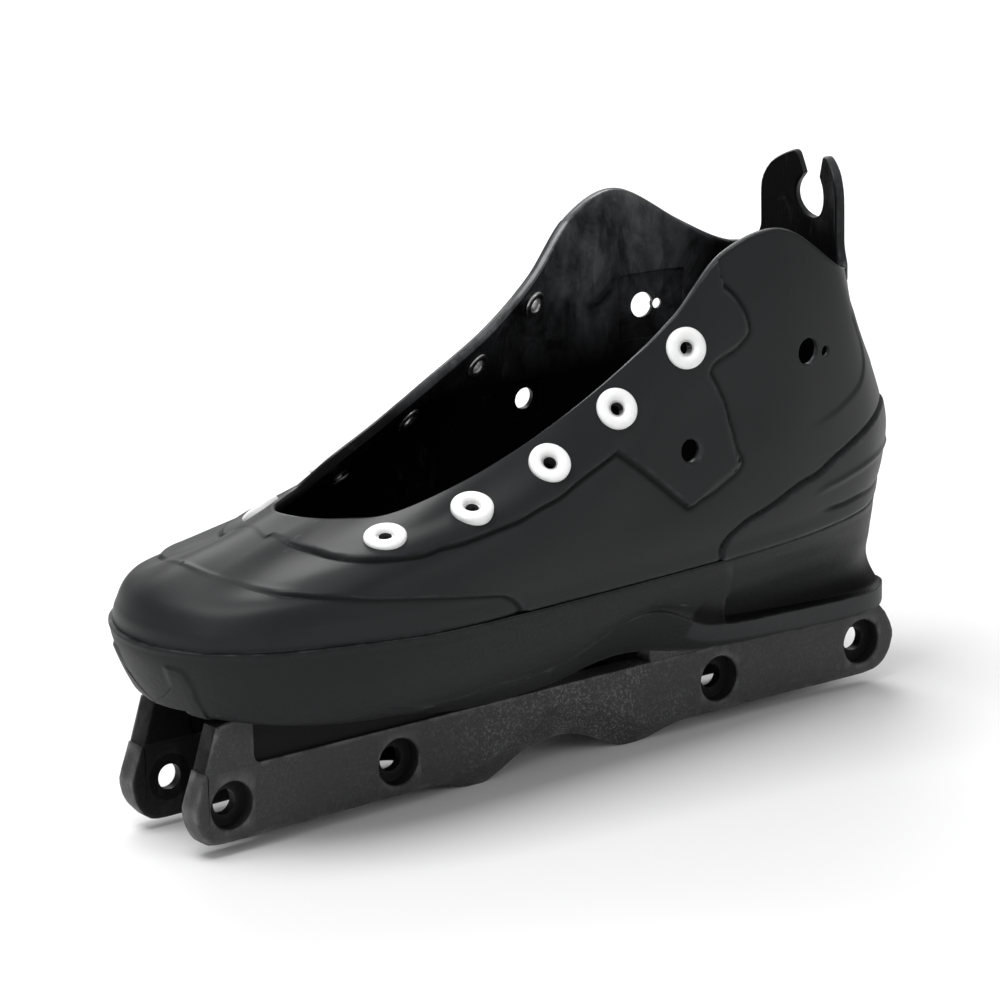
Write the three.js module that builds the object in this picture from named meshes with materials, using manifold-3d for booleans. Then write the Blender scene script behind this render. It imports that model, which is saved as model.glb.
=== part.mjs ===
// Boot shell of an inline skate on its frame, in millimetres.
// X runs along the foot (toe at -X, heel at +X), Y across, Z up.
// Sections are written with x = 0 midway between the outer axles and z = 0 at
// the axle centres; the whole assembly is then shifted so that the origin is at
// the centre of the underside of its box.
import * as THREE from 'three';
import { mergeVertices, mergeGeometries } from 'three/addons/utils/BufferGeometryUtils.js';
import Module from 'manifold-3d';

// ---------------------------------------------------------------- dimensions
const WALL = 3.0;                 // moulded wall of the boot shell
const FLOOR = 3.0;                // shell floor thickness
const TAB_BASE_Z = 129;           // where the rear spine tab leaves the collar
const TAB_LEAN = 0.3;             // the tab top leans forward this much
const TAB_TOP = [[0, 161.6], [7.5, 161.5], [12, 159.8], [15, 158], [17.8, 155], [19.2, 152], [22, 150]];
const KEYHOLE_Z = 147.6;          // centre of the round part of the keyhole notch
const KEYHOLE_R = 7.5;
const KEYHOLE_NECK = 4.5;         // half width where the slot meets the circle
const KEYHOLE_MOUTH = 6.4;        // half width at the top
const EYELET_HOLE_R = 3.1;
const CUFF_HOLE_R = 4.2;
const CUFF_STOP_R = 1.7;
const STRAP_HOLE_R = 3.6;
const AXLES_X = [-125, -63.8, 63.8, 125];
const AXLE_R = 4.0;               // M8 axle bore
const COUNTERBORE_R = 7.5;
const COUNTERBORE_FLOOR = 16.2;   // distance of the counterbore floor from the middle
const RAIL_IN = 13.2;             // inner face of a rail
const RAIL_CHAMFER = 16.8;        // where the bottom chamfer starts
const RAIL_OUT = 21.0;            // outer face of a rail
const RAIL_TOP = 11.5;
const WEB_OUT = 19.3;             // recessed web above the front half of a rail
const WHEEL_CLEAR_R = 31.5;       // hollow for a 60 mm wheel
const WHEEL_CLEAR_Y = 12.9;
const BRIDGE_X = [-94.4, 94.4];   // bridges between the paired wheels
const BRIDGE_TOP = 26.7;
const SOLE_WALL = 4.2;             // wall of the hollow sole
const SHIFT = [1.025, 0, 15.5];    // brings the origin to the bottom centre of the box

// Vertical sections of the boot shell, from the toe (first row) along one side
// to the heel (last row). Each row climbs from the sole seam to the collar edge:
// [x, half width, z].
const SHELL_SECTIONS = [
  [[-143.7, 0, 51], [-143.4, 0, 56.5], [-139, 0, 64], [-127, 0, 70.3], [-109, 0, 75.2], [-91, 0, 80]],
  [[-141.2, 14, 51], [-140.8, 14, 56.6], [-136.5, 13.3, 63.5], [-125, 12.2, 69], [-107, 11, 74.3], [-86.5, 9, 79.4]],
  [[-133.6, 27, 51], [-133.2, 27.2, 56.8], [-129, 26, 63], [-118.5, 23, 67.6], [-100, 19, 73.2], [-79, 15.5, 79]],
  [[-118.5, 38, 51], [-118, 38.4, 57.3], [-114.5, 37, 64.3], [-104, 33.7, 70], [-86, 28.5, 74.8], [-67, 22.8, 79.6]],
  [[-95, 45.2, 50.5], [-95, 46.2, 58.5], [-91.5, 44.6, 66.8], [-82, 40, 73], [-68, 34.2, 77.9], [-51, 28, 84.6]],
  [[-68, 47.5, 49], [-67, 48.7, 59], [-62, 47, 69], [-54, 42.5, 77], [-43, 35.5, 83.3], [-32, 30.7, 91.6]],
  [[-40, 46.5, 48], [-38, 48.3, 59], [-34, 47.5, 70], [-28, 44.5, 81], [-19, 38, 90.5], [-10, 32, 101]],
  [[-10, 45, 47.7], [-9, 46.8, 59], [-6, 46.5, 71.5], [-1, 44.3, 85], [5, 38.8, 98.5], [12, 33, 112.5]],
  [[22, 43.5, 47.7], [22.5, 45.3, 60], [24, 44, 75], [26.5, 42.3, 91.5], [29.5, 40.5, 109.5], [32, 35.8, 126.8]],
  [[55, 41.5, 47.8], [55, 43.5, 61], [54.5, 43.5, 79], [53.5, 42, 101], [52, 41.5, 124], [50, 39, 145]],
  [[88, 37.5, 48.2], [87, 40, 62], [85, 41.5, 81], [82, 42.3, 104], [77, 43, 130], [72, 42, 150.2]],
  [[116.5, 29.5, 49], [117, 32.5, 63], [115, 34.5, 80], [109, 36.5, 100], [102.5, 38.3, 119], [96.5, 39, 135.2]],
  [[134.5, 15.5, 49.4], [136.5, 17.5, 61.5], [134.8, 20.5, 76], [125.8, 24.3, 95], [115.6, 27, 113], [108.6, 30, 130.6]],
  [[138.5, 7.5, 49.4], [141, 9, 61], [140.2, 10.8, 74], [130.8, 14, 93], [121.3, 17, 111], [117.4, 19.9, 129]],
  [[139.5, 0, 49.4], [142.3, 0, 60.8], [142.2, 0, 73], [133.8, 0, 92], [125.8, 0, 110], [124, 0, 129]],
];
const SHELL_TOE_INNER_SIDE = {
  1: [[-141.5, 13.5, 51], [-140.8, 13.5, 56.5], [-136, 13, 63.2], [-124.5, 12, 68.2], [-106, 10.5, 72.5], [-86.5, 9, 79.2]],
  2: [[-134.5, 26, 51], [-133.5, 26.2, 56.2], [-129, 25.3, 62.8], [-118, 22.5, 65.8], [-100, 18.7, 69], [-79.5, 14.8, 79]],
  3: [[-121, 36.5, 51], [-119.7, 36.8, 56.5], [-115, 35.3, 63], [-105, 31.5, 65.8], [-87, 26.3, 68.3], [-67.5, 22.5, 79.4]],
  4: [[-97, 43.7, 50.5], [-96.5, 44.7, 57.3], [-92.5, 43.2, 64], [-83, 38.3, 66.6], [-68, 32.3, 70.6], [-51, 28, 84.6]],
  5: [[-68, 47.5, 49], [-67, 48.7, 58.5], [-62, 46.6, 67], [-54, 41.6, 73], [-43, 34.8, 79.6], [-32, 30.7, 92]],
  6: [[-40, 46.5, 48], [-38, 48.3, 59], [-34, 47.2, 69.5], [-28, 44.2, 79.8], [-19, 38, 90], [-10.5, 32, 102.4]],
  7: [[-10, 45, 47.7], [-9, 46.8, 59], [-6, 46.5, 71.5], [-1, 44.3, 85], [5, 39, 99.2], [12, 33, 114.2]],
  8: [[22, 43.5, 47.7], [22.5, 45.3, 60], [24, 44, 75], [26.5, 42.3, 91.7], [29.5, 40.5, 110], [32, 35.8, 127.8]],
  11: [[116.5, 29.5, 49], [117, 32.5, 63], [115, 34.5, 80], [109, 36.5, 100], [102.5, 38.3, 119.5], [95.5, 39.3, 137.6]],
  12: [[134.5, 15.5, 49.4], [136.5, 17.5, 61.5], [134.8, 20.5, 76], [125.8, 24.3, 95], [115.6, 27, 113], [107.8, 30.4, 130.5]],
};
const SOLE_SECTIONS = [
  [[-145, 0, 50.6], [-144.6, 0, 46.5], [-142, 0, 40], [-139.5, 0, 34], [-137, 0, 29.5], [-133, 0, 27.3]],
  [[-142.5, 14, 50.6], [-142, 14, 46.5], [-139.8, 13.3, 40], [-137.2, 12.6, 34], [-134.5, 12, 29.3], [-130.5, 10.5, 26.8]],
  [[-134.7, 27.6, 50.6], [-134.2, 27.3, 46.5], [-132.3, 26, 39.5], [-130.3, 24, 33], [-128, 22, 28], [-124.5, 18, 25.8]],
  [[-119.5, 39, 50.5], [-119.2, 38.7, 46], [-118, 37.3, 38.5], [-117.3, 34.5, 31], [-117, 31.5, 26.3], [-115, 21.3, 24.3]],
  [[-95, 46.2, 50.1], [-95, 46, 45.5], [-95, 44.3, 36.5], [-95, 40, 28], [-95, 33.5, 22.5], [-95, 21.3, 20]],
  [[-68, 48.3, 48.6], [-68, 48, 44], [-68, 45.3, 34.5], [-68, 40, 26], [-68, 32.5, 20], [-68, 21.3, 15.5]],
  [[-40, 47, 47.6], [-40, 46.6, 43.5], [-40, 43.8, 34.5], [-40, 38, 26.5], [-40, 31, 20], [-40, 21.3, 12.1]],
  [[-10, 45.3, 47.3], [-10, 44.8, 43.5], [-10, 41.8, 35.5], [-10, 36.5, 28], [-10, 30, 21.5], [-10, 21.3, 12.4]],
  [[22, 43.8, 47.3], [22, 43, 43.5], [22, 40, 38.5], [22, 37.5, 35.8], [22, 35.5, 33.5], [22, 21.5, 17]],
  [[55, 41.8, 47.4], [55, 40.5, 43], [55, 36, 36], [55, 31.5, 29], [55, 27.5, 21], [55, 22.5, 12.4]],
  [[88, 37.8, 47.8], [88, 36, 43], [88, 31, 36], [88, 27.5, 28], [88, 27, 18.8], [88, 26, 12]],
  [[116.8, 29.8, 48.6], [117, 28.5, 43.5], [117.5, 26, 36], [118, 24.8, 28], [121, 27, 18.5], [121, 26.8, 12]],
  [[134.8, 15.8, 49], [134.5, 15.5, 43.5], [133.3, 15.3, 36], [133, 15.3, 28], [136.5, 18, 18], [136.5, 18, 12]],
  [[138.8, 7.7, 49], [138, 7.5, 43.5], [136.5, 7.3, 36], [136, 7.3, 28], [139.8, 9, 18], [139.8, 9, 12]],
  [[139.8, 0, 49], [139, 0, 43.5], [137.5, 0, 36], [137, 0, 28], [140.6, 0, 18], [140.6, 0, 12]],
];

// Places on the shell surface, as [section, height] in the tables above.
const STATIONS = {
  outer_eyelet_1: [8.1804, 4.3078],
  outer_eyelet_2: [7.079, 4.2092],
  outer_eyelet_3: [6.055, 3.8945],
  outer_eyelet_4: [5.0021, 3.5783],
  outer_eyelet_5: [3.6903, 3.8704],
  outer_cuff_bolt: [10.0621, 3.2085],
  outer_cuff_stop: [10.3507, 3.1926],
  outer_strap_bolt: [8.2981, 2.5373],
  inner_eyelet_1: [19.8522, 4.3673],
  inner_eyelet_2: [20.8385, 4.1445],
  inner_eyelet_3: [21.98, 4.05],
  inner_eyelet_4: [22.93, 3.62],
  inner_eyelet_5: [24.55, 4.12],
  inner_cuff_bolt: [17.9521, 3.2253],
  inner_cuff_stop: [17.7341, 3.2424],
  inner_strap_bolt: [19.7194, 2.5718],
};

// Rail cross-sections along X: [x, underside z, lower edge of the outer face z, top z].
const RAIL = [
  [-138.2, -1.6, -1.3, 0.6], [-137.4, -5.2, -4.7, 3.2], [-136, -8.2, -7.4, 6.9], [-134.3, -10.4, -9.4, 11.5],
  [-131.5, -12.2, -10.8, 11.5], [-127, -12.8, -11.2, 11.5], [-100, -12.5, -10.9, 11.5], [-70, -12.3, -10.6, 11.5],
  [-50, -12.3, -10.2, 11.5], [-43, -13.2, -9.6, 11.5], [-37, -15, -9, 11.5], [-33, -15.5, -8.6, 11.5],
  [-28.5, -15.5, -7.2, 11.5], [-24, -13.8, -4.2, 11.5], [-19, -11.2, -0.4, 11.5], [-13, -8.6, 2.4, 11.5],
  [-7, -7.1, 4, 11.5], [-1, -6.4, 4.6, 11.5], [5, -6.8, 4.2, 11.5], [10, -8.2, 3, 11.5], [16, -10.8, 0.9, 11.5],
  [22, -13.6, -2.6, 11.5], [26, -15.1, -5.3, 11.5], [28.5, -15.5, -6.9, 11.5], [32.5, -15.5, -8.6, 11.5],
  [38, -14.8, -9.3, 11.5], [45, -13.2, -9.7, 11.5], [52, -12.3, -10, 11.5], [90, -12.3, -10.6, 11.5],
  [125, -12.3, -11, 11.5], [130.5, -11.7, -10.5, 11.5], [133, -10.6, -9.6, 11.2], [135.5, -8.4, -7.7, 8.4],
  [137.6, -5, -4.6, 4.7], [138.8, -1, -0.8, 1.4],
];

// ---------------------------------------------------------------- materials
const finish = (color, roughness, metalness) => new THREE.MeshStandardMaterial({ color, roughness, metalness });
const shellFinish = () => finish(0x26282b, 0.55, 0.0);
const soleFinish = () => finish(0x232527, 0.75, 0.0);
const frameFinish = () => finish(0x202224, 0.8, 0.0);
const nylonFinish = () => finish(0xf2f3f2, 0.35, 0.0);
const steelFinish = () => finish(0xb9bcbf, 0.3, 1.0);
const boltFinish = () => finish(0x1b1b1c, 0.35, 0.9);

// ---------------------------------------------------------------- surfaces
// Both halves of a section table are joined into one closed loop of columns.
function loop(rows, otherSide = {}) {
  const cols = rows.map((c) => c.map(([x, w, z]) => [x, -w, z]));
  for (let i = rows.length - 2; i > 0; i--) cols.push((otherSide[i] ?? rows[i]).map(([x, w, z]) => [x, w, z]));
  return cols;
}
const cr = (a, b, c, d, f) => 0.5 * (2 * b + (c - a) * f + (2 * a - 5 * b + 4 * c - d) * f * f + (3 * b - a - 3 * c + d) * f * f * f);
function loft(T, s, t) {
  const n = T.length, m = T[0].length, i = Math.floor(s), f = s - i;
  const col = [];
  for (let k = 0; k < m; k++) {
    const p = [-1, 0, 1, 2].map((d) => T[(i + d + 2 * n) % n][k]);
    col.push([0, 1, 2].map((a) => cr(p[0][a], p[1][a], p[2][a], p[3][a], f)));
  }
  const at = (k) => k < 0 ? col[0].map((v, a) => 2 * v - col[1][a]) : k >= m ? col[m - 1].map((v, a) => 2 * v - col[m - 2][a]) : col[k];
  const j = Math.min(Math.max(Math.floor(t), 0), m - 2), g = t - j;
  const q = [at(j - 1), at(j), at(j + 1), at(j + 2)];
  return new THREE.Vector3(...[0, 1, 2].map((a) => cr(q[0][a], q[1][a], q[2][a], q[3][a], g)));
}
function outward(T, s, t) {
  const h = 0.02, t0 = Math.max(0, t - h), t1 = Math.min(T[0].length - 1, t + h);
  const a = loft(T, s + h, t).sub(loft(T, s - h, t)), b = loft(T, s, t1).sub(loft(T, s, t0));
  return a.cross(b).normalize();
}
const SHELL = loop(SHELL_SECTIONS, SHELL_TOE_INNER_SIDE);
const SOLE = loop(SOLE_SECTIONS);
const HEEL = SHELL_SECTIONS.length - 1;      // column of the heel centre line

// ---------------------------------------------------------------- solids
const wasm = await Module();
wasm.setup();
function toSolid(geometry) {
  const g = geometry.clone();
  for (const k of Object.keys(g.attributes)) if (k !== 'position') g.deleteAttribute(k);
  const m = mergeVertices(g, 1e-4);
  const mesh = new wasm.Mesh({ numProp: 3, vertProperties: new Float32Array(m.attributes.position.array), triVerts: new Uint32Array(m.index.array) });
  mesh.merge();
  return new wasm.Manifold(mesh);
}
function toGeometry(solid) {
  const m = solid.getMesh();
  const g = new THREE.BufferGeometry();
  const p = new Float32Array(m.numVert * 3);
  for (let i = 0; i < m.numVert; i++) for (let a = 0; a < 3; a++) p[3 * i + a] = m.vertProperties[i * m.numProp + a];
  g.setAttribute('position', new THREE.BufferAttribute(p, 3));
  g.setIndex(new THREE.BufferAttribute(new Uint32Array(m.triVerts), 1));
  g.computeVertexNormals();
  return g;
}
function fromLists(points, triangles) {
  const g = new THREE.BufferGeometry();
  g.setAttribute('position', new THREE.Float32BufferAttribute(points.flatMap((p) => [p.x, p.y, p.z]), 3));
  g.setIndex(triangles.filter(([a, b, c]) => a !== b && b !== c && a !== c).flat());
  return g;
}
// Cylinder of radius r along a direction, from point a to point b.
function rod(a, b, r, segments = 18, r2 = r) {
  const A = new THREE.Vector3(...a), B = new THREE.Vector3(...b), d = B.clone().sub(A);
  const g = new THREE.CylinderGeometry(r2, r, d.length(), segments);
  g.applyQuaternion(new THREE.Quaternion().setFromUnitVectors(new THREE.Vector3(0, 1, 0), d.clone().normalize()));
  const c = A.add(B).multiplyScalar(0.5);
  g.translate(c.x, c.y, c.z);
  return g;
}
const box = (x0, x1, y0, y1, z0, z1) => {
  const g = new THREE.BoxGeometry(x1 - x0, y1 - y0, z1 - z0);
  g.translate((x0 + x1) / 2, (y0 + y1) / 2, (z0 + z1) / 2);
  return g;
};
// Side-view outline [x, z] given a thickness across Y.
function slab(outline, y0, y1) {
  const g = new THREE.ExtrudeGeometry(new THREE.Shape(outline.map(([x, z]) => new THREE.Vector2(x, z))), { depth: y1 - y0, bevelEnabled: false });
  g.rotateX(Math.PI / 2);
  g.translate(0, y1, 0);
  return g;
}
// Frame at a place on the shell: z outward, x roughly along the boot.
function placement(s, t, lift = 0) {
  const n = outward(SHELL, s, t), p = loft(SHELL, s, t).addScaledVector(n, lift);
  const x = new THREE.Vector3(1, 0, 0).addScaledVector(n, -n.x).normalize(), y = n.clone().cross(x);
  return { p, n, m: new THREE.Matrix4().makeBasis(x, y, n).setPosition(p) };
}

// Boot shell: outer skin, rear spine tab and floor as one sheet, then given its wall.
function shellBody() {
  const near = [];
  for (let s = 0; s < HEEL - 1 - 1e-6; s += 0.5) near.push(s);
  for (let k = 0; k <= 5; k++) near.push(HEEL - 1 + k / 5);
  const all = [...near, ...near.slice(1, -1).reverse().map((s) => 2 * HEEL - s)];
  const tOut = [0, 0.5, 1, 1.5, 2, 2.5, 3, 3.5, 4, 4.5, 5], tIn = [0.3, 0.75, 1, 1.5, 2, 2.5, 3, 3.5, 4, 4.5, 5];
  const outer = [], inner = [], tri = [], id = [];
  const put = (o, i) => (outer.push(o), inner.push(i), outer.length - 1);
  const tabHeight = (y) => {
    const a = Math.abs(y);
    for (let k = 1; k < TAB_TOP.length; k++) if (a <= TAB_TOP[k][0]) {
      const [y0, z0] = TAB_TOP[k - 1], [y1, z1] = TAB_TOP[k];
      return z0 + (z1 - z0) * (a - y0) / (y1 - y0);
    }
    return TAB_TOP.at(-1)[1];
  };
  for (const s of all) {
    const column = [];
    for (let r = 0; r < tOut.length; r++) {
      const o = loft(SHELL, s, tOut[r]);
      const i = loft(SHELL, s, tIn[r]).addScaledVector(outward(SHELL, s, tIn[r]), -WALL);
      if (r === 0) i.z = o.z + FLOOR;
      column.push(put(o, i));
    }
    if (s > HEEL - 1 - 1e-6 && s < HEEL + 1 + 1e-6) {
      const base = outer[column.at(-1)], n = outward(SHELL, s, 5).setZ(0).normalize(), top = tabHeight(base.y);
      for (let k = 1; k <= 4; k++) {
        const z = base.z + (top - base.z) * k / 4;
        const o = new THREE.Vector3(base.x - TAB_LEAN * (z - base.z) / 32, base.y, z);
        column.push(put(o, o.clone().addScaledVector(n, -WALL - 0.3)));
      }
    }
    id.push(column);
  }
  const n = all.length;
  for (let c = 0; c < n; c++) {
    const a = id[c], b = id[(c + 1) % n];
    for (let r = 0; r + 1 < Math.min(a.length, b.length); r++) tri.push([a[r], b[r], b[r + 1]], [a[r], b[r + 1], a[r + 1]]);
  }
  for (let c = 0; c + 1 < near.length; c++) {          // floor, strip by strip
    const a = id[c][0], b = id[c + 1][0], a2 = id[(n - c) % n][0], b2 = id[(n - c - 1) % n][0];
    tri.push([a, a2, b2], [a, b2, b]);
  }
  const clean = tri.filter(([a, b, c]) => a !== b && b !== c && a !== c);
  const N = outer.length, edges = new Map();
  for (const [a, b, c] of clean) for (const [u, v] of [[a, b], [b, c], [c, a]]) edges.set(u + '_' + v, [u, v]);
  const faces = [...clean, ...clean.map(([a, b, c]) => [a + N, c + N, b + N])];
  for (const [u, v] of edges.values()) if (!edges.has(v + '_' + u)) faces.push([v, u, u + N], [v, u + N, v + N]);
  return toSolid(fromLists([...outer, ...inner], faces));
}

function bootShell() {
  let body = shellBody();
  // keyhole notch of the spine tab
  const key = [];
  const a0 = Math.asin(KEYHOLE_NECK / KEYHOLE_R);
  for (let k = 0; k <= 20; k++) {
    const a = Math.PI / 2 + a0 + (2 * Math.PI - 2 * a0) * k / 20;
    key.push(new THREE.Vector2(KEYHOLE_R * Math.cos(a), KEYHOLE_Z + KEYHOLE_R * Math.sin(a)));
  }
  key.push(new THREE.Vector2(KEYHOLE_MOUTH, 160.3), new THREE.Vector2(KEYHOLE_MOUTH + 1.2, 163), new THREE.Vector2(-KEYHOLE_MOUTH - 1.2, 163), new THREE.Vector2(-KEYHOLE_MOUTH, 160.3));
  const cut = new THREE.ExtrudeGeometry(new THREE.Shape(key), { depth: 24, bevelEnabled: false });
  cut.applyMatrix4(new THREE.Matrix4().makeBasis(new THREE.Vector3(0, 1, 0), new THREE.Vector3(0, 0, 1), new THREE.Vector3(1, 0, 0)));
  cut.translate(110, 0, 0);
  body = body.subtract(toSolid(cut));
  for (const [name, [s, t]] of Object.entries(STATIONS)) {
    const { p, n, m } = placement(s, t);
    const q = (d) => p.clone().addScaledVector(n, d).toArray();
    const r = name.includes('eyelet') ? EYELET_HOLE_R : name.includes('bolt') ? (name.includes('cuff') ? CUFF_HOLE_R : STRAP_HOLE_R) : CUFF_STOP_R;
    body = body.subtract(toSolid(rod(q(-7), q(5), r, r < 3 ? 8 : 14)));
    if (name.endsWith('strap_bolt')) {                 // square seat on the inside
      const g = new THREE.BoxGeometry(12, 13.4, 4);
      g.applyMatrix4(m.clone().multiply(new THREE.Matrix4().makeTranslation(0, 0, -WALL - 1)));
      body = body.subtract(toSolid(g));
    }
    if (name.endsWith('cuff_bolt')) {                  // larger recessed field on the inside
      const g = new THREE.BoxGeometry(26, 22, 4);
      g.applyMatrix4(m.clone().multiply(new THREE.Matrix4().makeTranslation(3, 0, -WALL - 1.1)));
      body = body.subtract(toSolid(g));
    }
  }
  for (const [x, y] of SCREWS) body = body.subtract(toSolid(rod([x, y, 40], [x, y, 60], 2.3, 12)));
  return toGeometry(body);
}

// Sole base: one solid under the shell, hollowed for the wheels, the bridges and
// the two pockets that are open under the shell floor.
const SCREWS = [[-118, 0], [17, -22], [17, 22], [126, 0]];
function soleBase() {
  const near = [];
  for (let s = 0; s <= HEEL + 1e-6; s += 0.5) near.push(s);
  const all = [...near, ...near.slice(1, -1).reverse().map((s) => 2 * HEEL - s)];
  const rows = [0, 0.5, 1, 1.5, 2, 2.5, 3, 3.5, 4, 4.5, 5];
  const pts = [], tri = [], id = all.map((s) => rows.map((t) => pts.push(loft(SOLE, s, t)) - 1)), n = all.length;
  for (let c = 0; c < n; c++) for (let r = 0; r + 1 < rows.length; r++) {
    const a = id[c], b = id[(c + 1) % n];
    tri.push([a[r], b[r + 1], b[r]], [a[r], a[r + 1], b[r + 1]]);
  }
  for (let c = 0; c + 1 < near.length; c++) {
    const o = (n - c) % n, p = (n - c - 1) % n, L = rows.length - 1;
    tri.push([id[c][0], id[p][0], id[o][0]], [id[c][0], id[c + 1][0], id[p][0]]);
    tri.push([id[c][L], id[o][L], id[p][L]], [id[c][L], id[p][L], id[c + 1][L]]);
  }
  let body = toSolid(fromLists(pts, tri));
  for (const x of AXLES_X) body = body.subtract(toSolid(rod([x, -WHEEL_CLEAR_Y, 0], [x, WHEEL_CLEAR_Y, 0], WHEEL_CLEAR_R, 40)));
  for (const x of BRIDGE_X) {
    body = body.subtract(toSolid(box(x - 18.5, x + 18.5, -17.5, 17.5, 0, BRIDGE_TOP + 0.4)));
    body = body.subtract(toSolid(rod([x, 0, 20], [x, 0, 40], 4.8, 16)));
  }
  body = body.subtract(solePockets());
  for (const [x, y] of SCREWS) body = body.subtract(toSolid(rod([x, y, 35], [x, y, 60], 2.3, 12)));
  return toGeometry(body);
}

// The two hollows under the shell floor: the sole's own outside, set in by its
// wall, less walls round the wheel hollows and the bridges, and two cross ribs.
function solePockets() {
  const near = [];
  for (let s = 0; s <= HEEL + 1e-6; s += 0.5) near.push(s);
  const all = [...near, ...near.slice(1, -1).reverse().map((s) => 2 * HEEL - s)];
  const rows = [-1, 0, 1, 2, 3, 4, 5];
  const pts = [], tri = [], n = all.length, L = rows.length - 1;
  const id = all.map((s) => rows.map((t) => {
    const q = loft(SOLE, s, Math.max(0, t)), p = q.clone().addScaledVector(outward(SOLE, s, Math.max(0, t)), SOLE_WALL);
    p.z = t < 0 ? 62 : Math.max(p.z, loft(SOLE, s, 5).z + SOLE_WALL);
    return pts.push(p) - 1;
  }));
  for (let c = 0; c < n; c++) for (let r = 0; r < L; r++) {
    const a = id[c], b = id[(c + 1) % n];
    tri.push([a[r], b[r + 1], b[r]], [a[r], a[r + 1], b[r + 1]]);
  }
  for (let c = 0; c + 1 < near.length; c++) {
    const o = (n - c) % n, p = (n - c - 1) % n;
    tri.push([id[c][0], id[p][0], id[o][0]], [id[c][0], id[c + 1][0], id[p][0]]);
    tri.push([id[c][L], id[o][L], id[p][L]], [id[c][L], id[p][L], id[c + 1][L]]);
  }
  let hollow = toSolid(fromLists(pts, tri)).intersect(toSolid(box(-108, -14, -40, 40, 5, 60)).add(toSolid(box(48, 116, -32, 32, 24, 60))));
  for (const x of AXLES_X) hollow = hollow.subtract(toSolid(rod([x, -WHEEL_CLEAR_Y - 3, 0], [x, WHEEL_CLEAR_Y + 3, 0], WHEEL_CLEAR_R + 3, 40)));
  for (const x of BRIDGE_X) hollow = hollow.subtract(toSolid(box(x - 21.5, x + 21.5, -20.5, 20.5, 0, BRIDGE_TOP + 3.6)));
  for (const x of [-76, -44]) hollow = hollow.subtract(toSolid(box(x - 1.3, x + 1.3, -45, 45, 0, 60)));
  return hollow;
}

// Underside of the sole along the rails, for the parts of the frame that rise to it.
const soleUnderside = (x) => {
  const P = [];
  for (let s = 0; s <= HEEL; s += 0.05) P.push(loft(SOLE, s, 5));
  for (let k = 1; k < P.length; k++) if (P[k].x >= x) return P[k - 1].z + (P[k].z - P[k - 1].z) * (x - P[k - 1].x) / (P[k].x - P[k - 1].x);
  return P.at(-1).z;
};
function rail(side) {
  const pts = [], tri = [], n = 5;
  for (const [x, zb, ze, zt] of RAIL)
    for (const [y, z] of [[RAIL_IN, zb], [RAIL_CHAMFER, zb], [RAIL_OUT, ze], [RAIL_OUT, zt], [RAIL_IN, zt]]) pts.push(new THREE.Vector3(x, side * y, z));
  for (let c = 0; c + 1 < RAIL.length; c++) for (let k = 0; k < n; k++) {
    const a = c * n + k, b = c * n + (k + 1) % n, A = a + n, B = b + n;
    tri.push([a, A, B], [a, B, b]);
  }
  const e = (RAIL.length - 1) * n;
  for (let k = 1; k + 1 < n; k++) tri.push([0, k, k + 1], [e, e + k + 1, e + k]);
  return toSolid(fromLists(pts, side < 0 ? tri : tri.map(([a, b, c]) => [a, c, b])));
}
function frameBody() {
  let f = rail(1).add(rail(-1));
  const top = (x0, x1, n) => Array.from({ length: n + 1 }, (_, k) => { const x = x0 + (x1 - x0) * k / n; return [x, soleUnderside(x) - 0.7]; });
  for (const side of [1, -1]) {
    const y = (a, b) => side > 0 ? [a, b] : [-b, -a];
    // full-thickness front post and the thinner web behind it
    const post = [[-134.3, 11], [-129.2, 25.4], ...top(-124, -116.7, 2), [-116.7, 11]];
    f = f.add(toSolid(slab(post, ...y(RAIL_IN, RAIL_OUT))));
    const web = [[-117, 11], ...top(-117, -52, 6), [-46, 11]];
    f = f.add(toSolid(slab(web, ...y(14, WEB_OUT))));
    // raised step of the rail top that closes the slot behind the arch
    f = f.add(toSolid(slab([[35.3, 11], ...top(35.3, 58, 4), [64, 11]], ...y(RAIL_IN, 20.7))));
    for (const x of BRIDGE_X) f = f.add(toSolid(slab([[x - 16.5, 10.5], [x + 16.5, 10.5], [x + 12, BRIDGE_TOP], [x - 12, BRIDGE_TOP]], ...y(RAIL_IN, 17))));
  }
  const arch = RAIL.filter(([x]) => x >= -28.5 && x <= 28.5).map(([x, zb]) => [x, zb]);
  f = f.add(toSolid(slab([[-30.5, -15.5], ...arch, [30.5, -15.5], [30.5, 8.5], [-30.5, 8.5]], -RAIL_IN - 0.2, RAIL_IN + 0.2)));
  for (const x of BRIDGE_X) {
    f = f.add(toSolid(slab([[x - 6.8, 20.5], [x + 6.8, 20.5], [x + 12, BRIDGE_TOP], [x - 12, BRIDGE_TOP]], -RAIL_IN - 0.2, RAIL_IN + 0.2)));
    f = f.subtract(toSolid(rod([x, 0, 15], [x, 0, 30], 3.3, 16)));
    f = f.subtract(toSolid(rod([x, 0, 20.2], [x, 0, 24.2], 6.4, 16, 3.3)));
  }
  for (const x of AXLES_X) {
    f = f.subtract(toSolid(rod([x, -30, 0], [x, 30, 0], AXLE_R, 20)));
    for (const side of [1, -1]) f = f.subtract(toSolid(rod([x, side * COUNTERBORE_FLOOR, 0], [x, side * 30, 0], COUNTERBORE_R, 24)));
  }
  return toGeometry(f);
}

const lathe = (profile, segments) => {
  const ring = [...profile, profile[0]];
  const area = ring.slice(1).reduce((sum, [r, z], k) => sum + ring[k][0] * z - r * ring[k][1], 0);
  if (area < 0) ring.reverse();
  const g = new THREE.LatheGeometry(ring.map(([r, z]) => new THREE.Vector2(r, z)), segments);
  g.rotateX(Math.PI / 2);
  return g;
};
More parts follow.
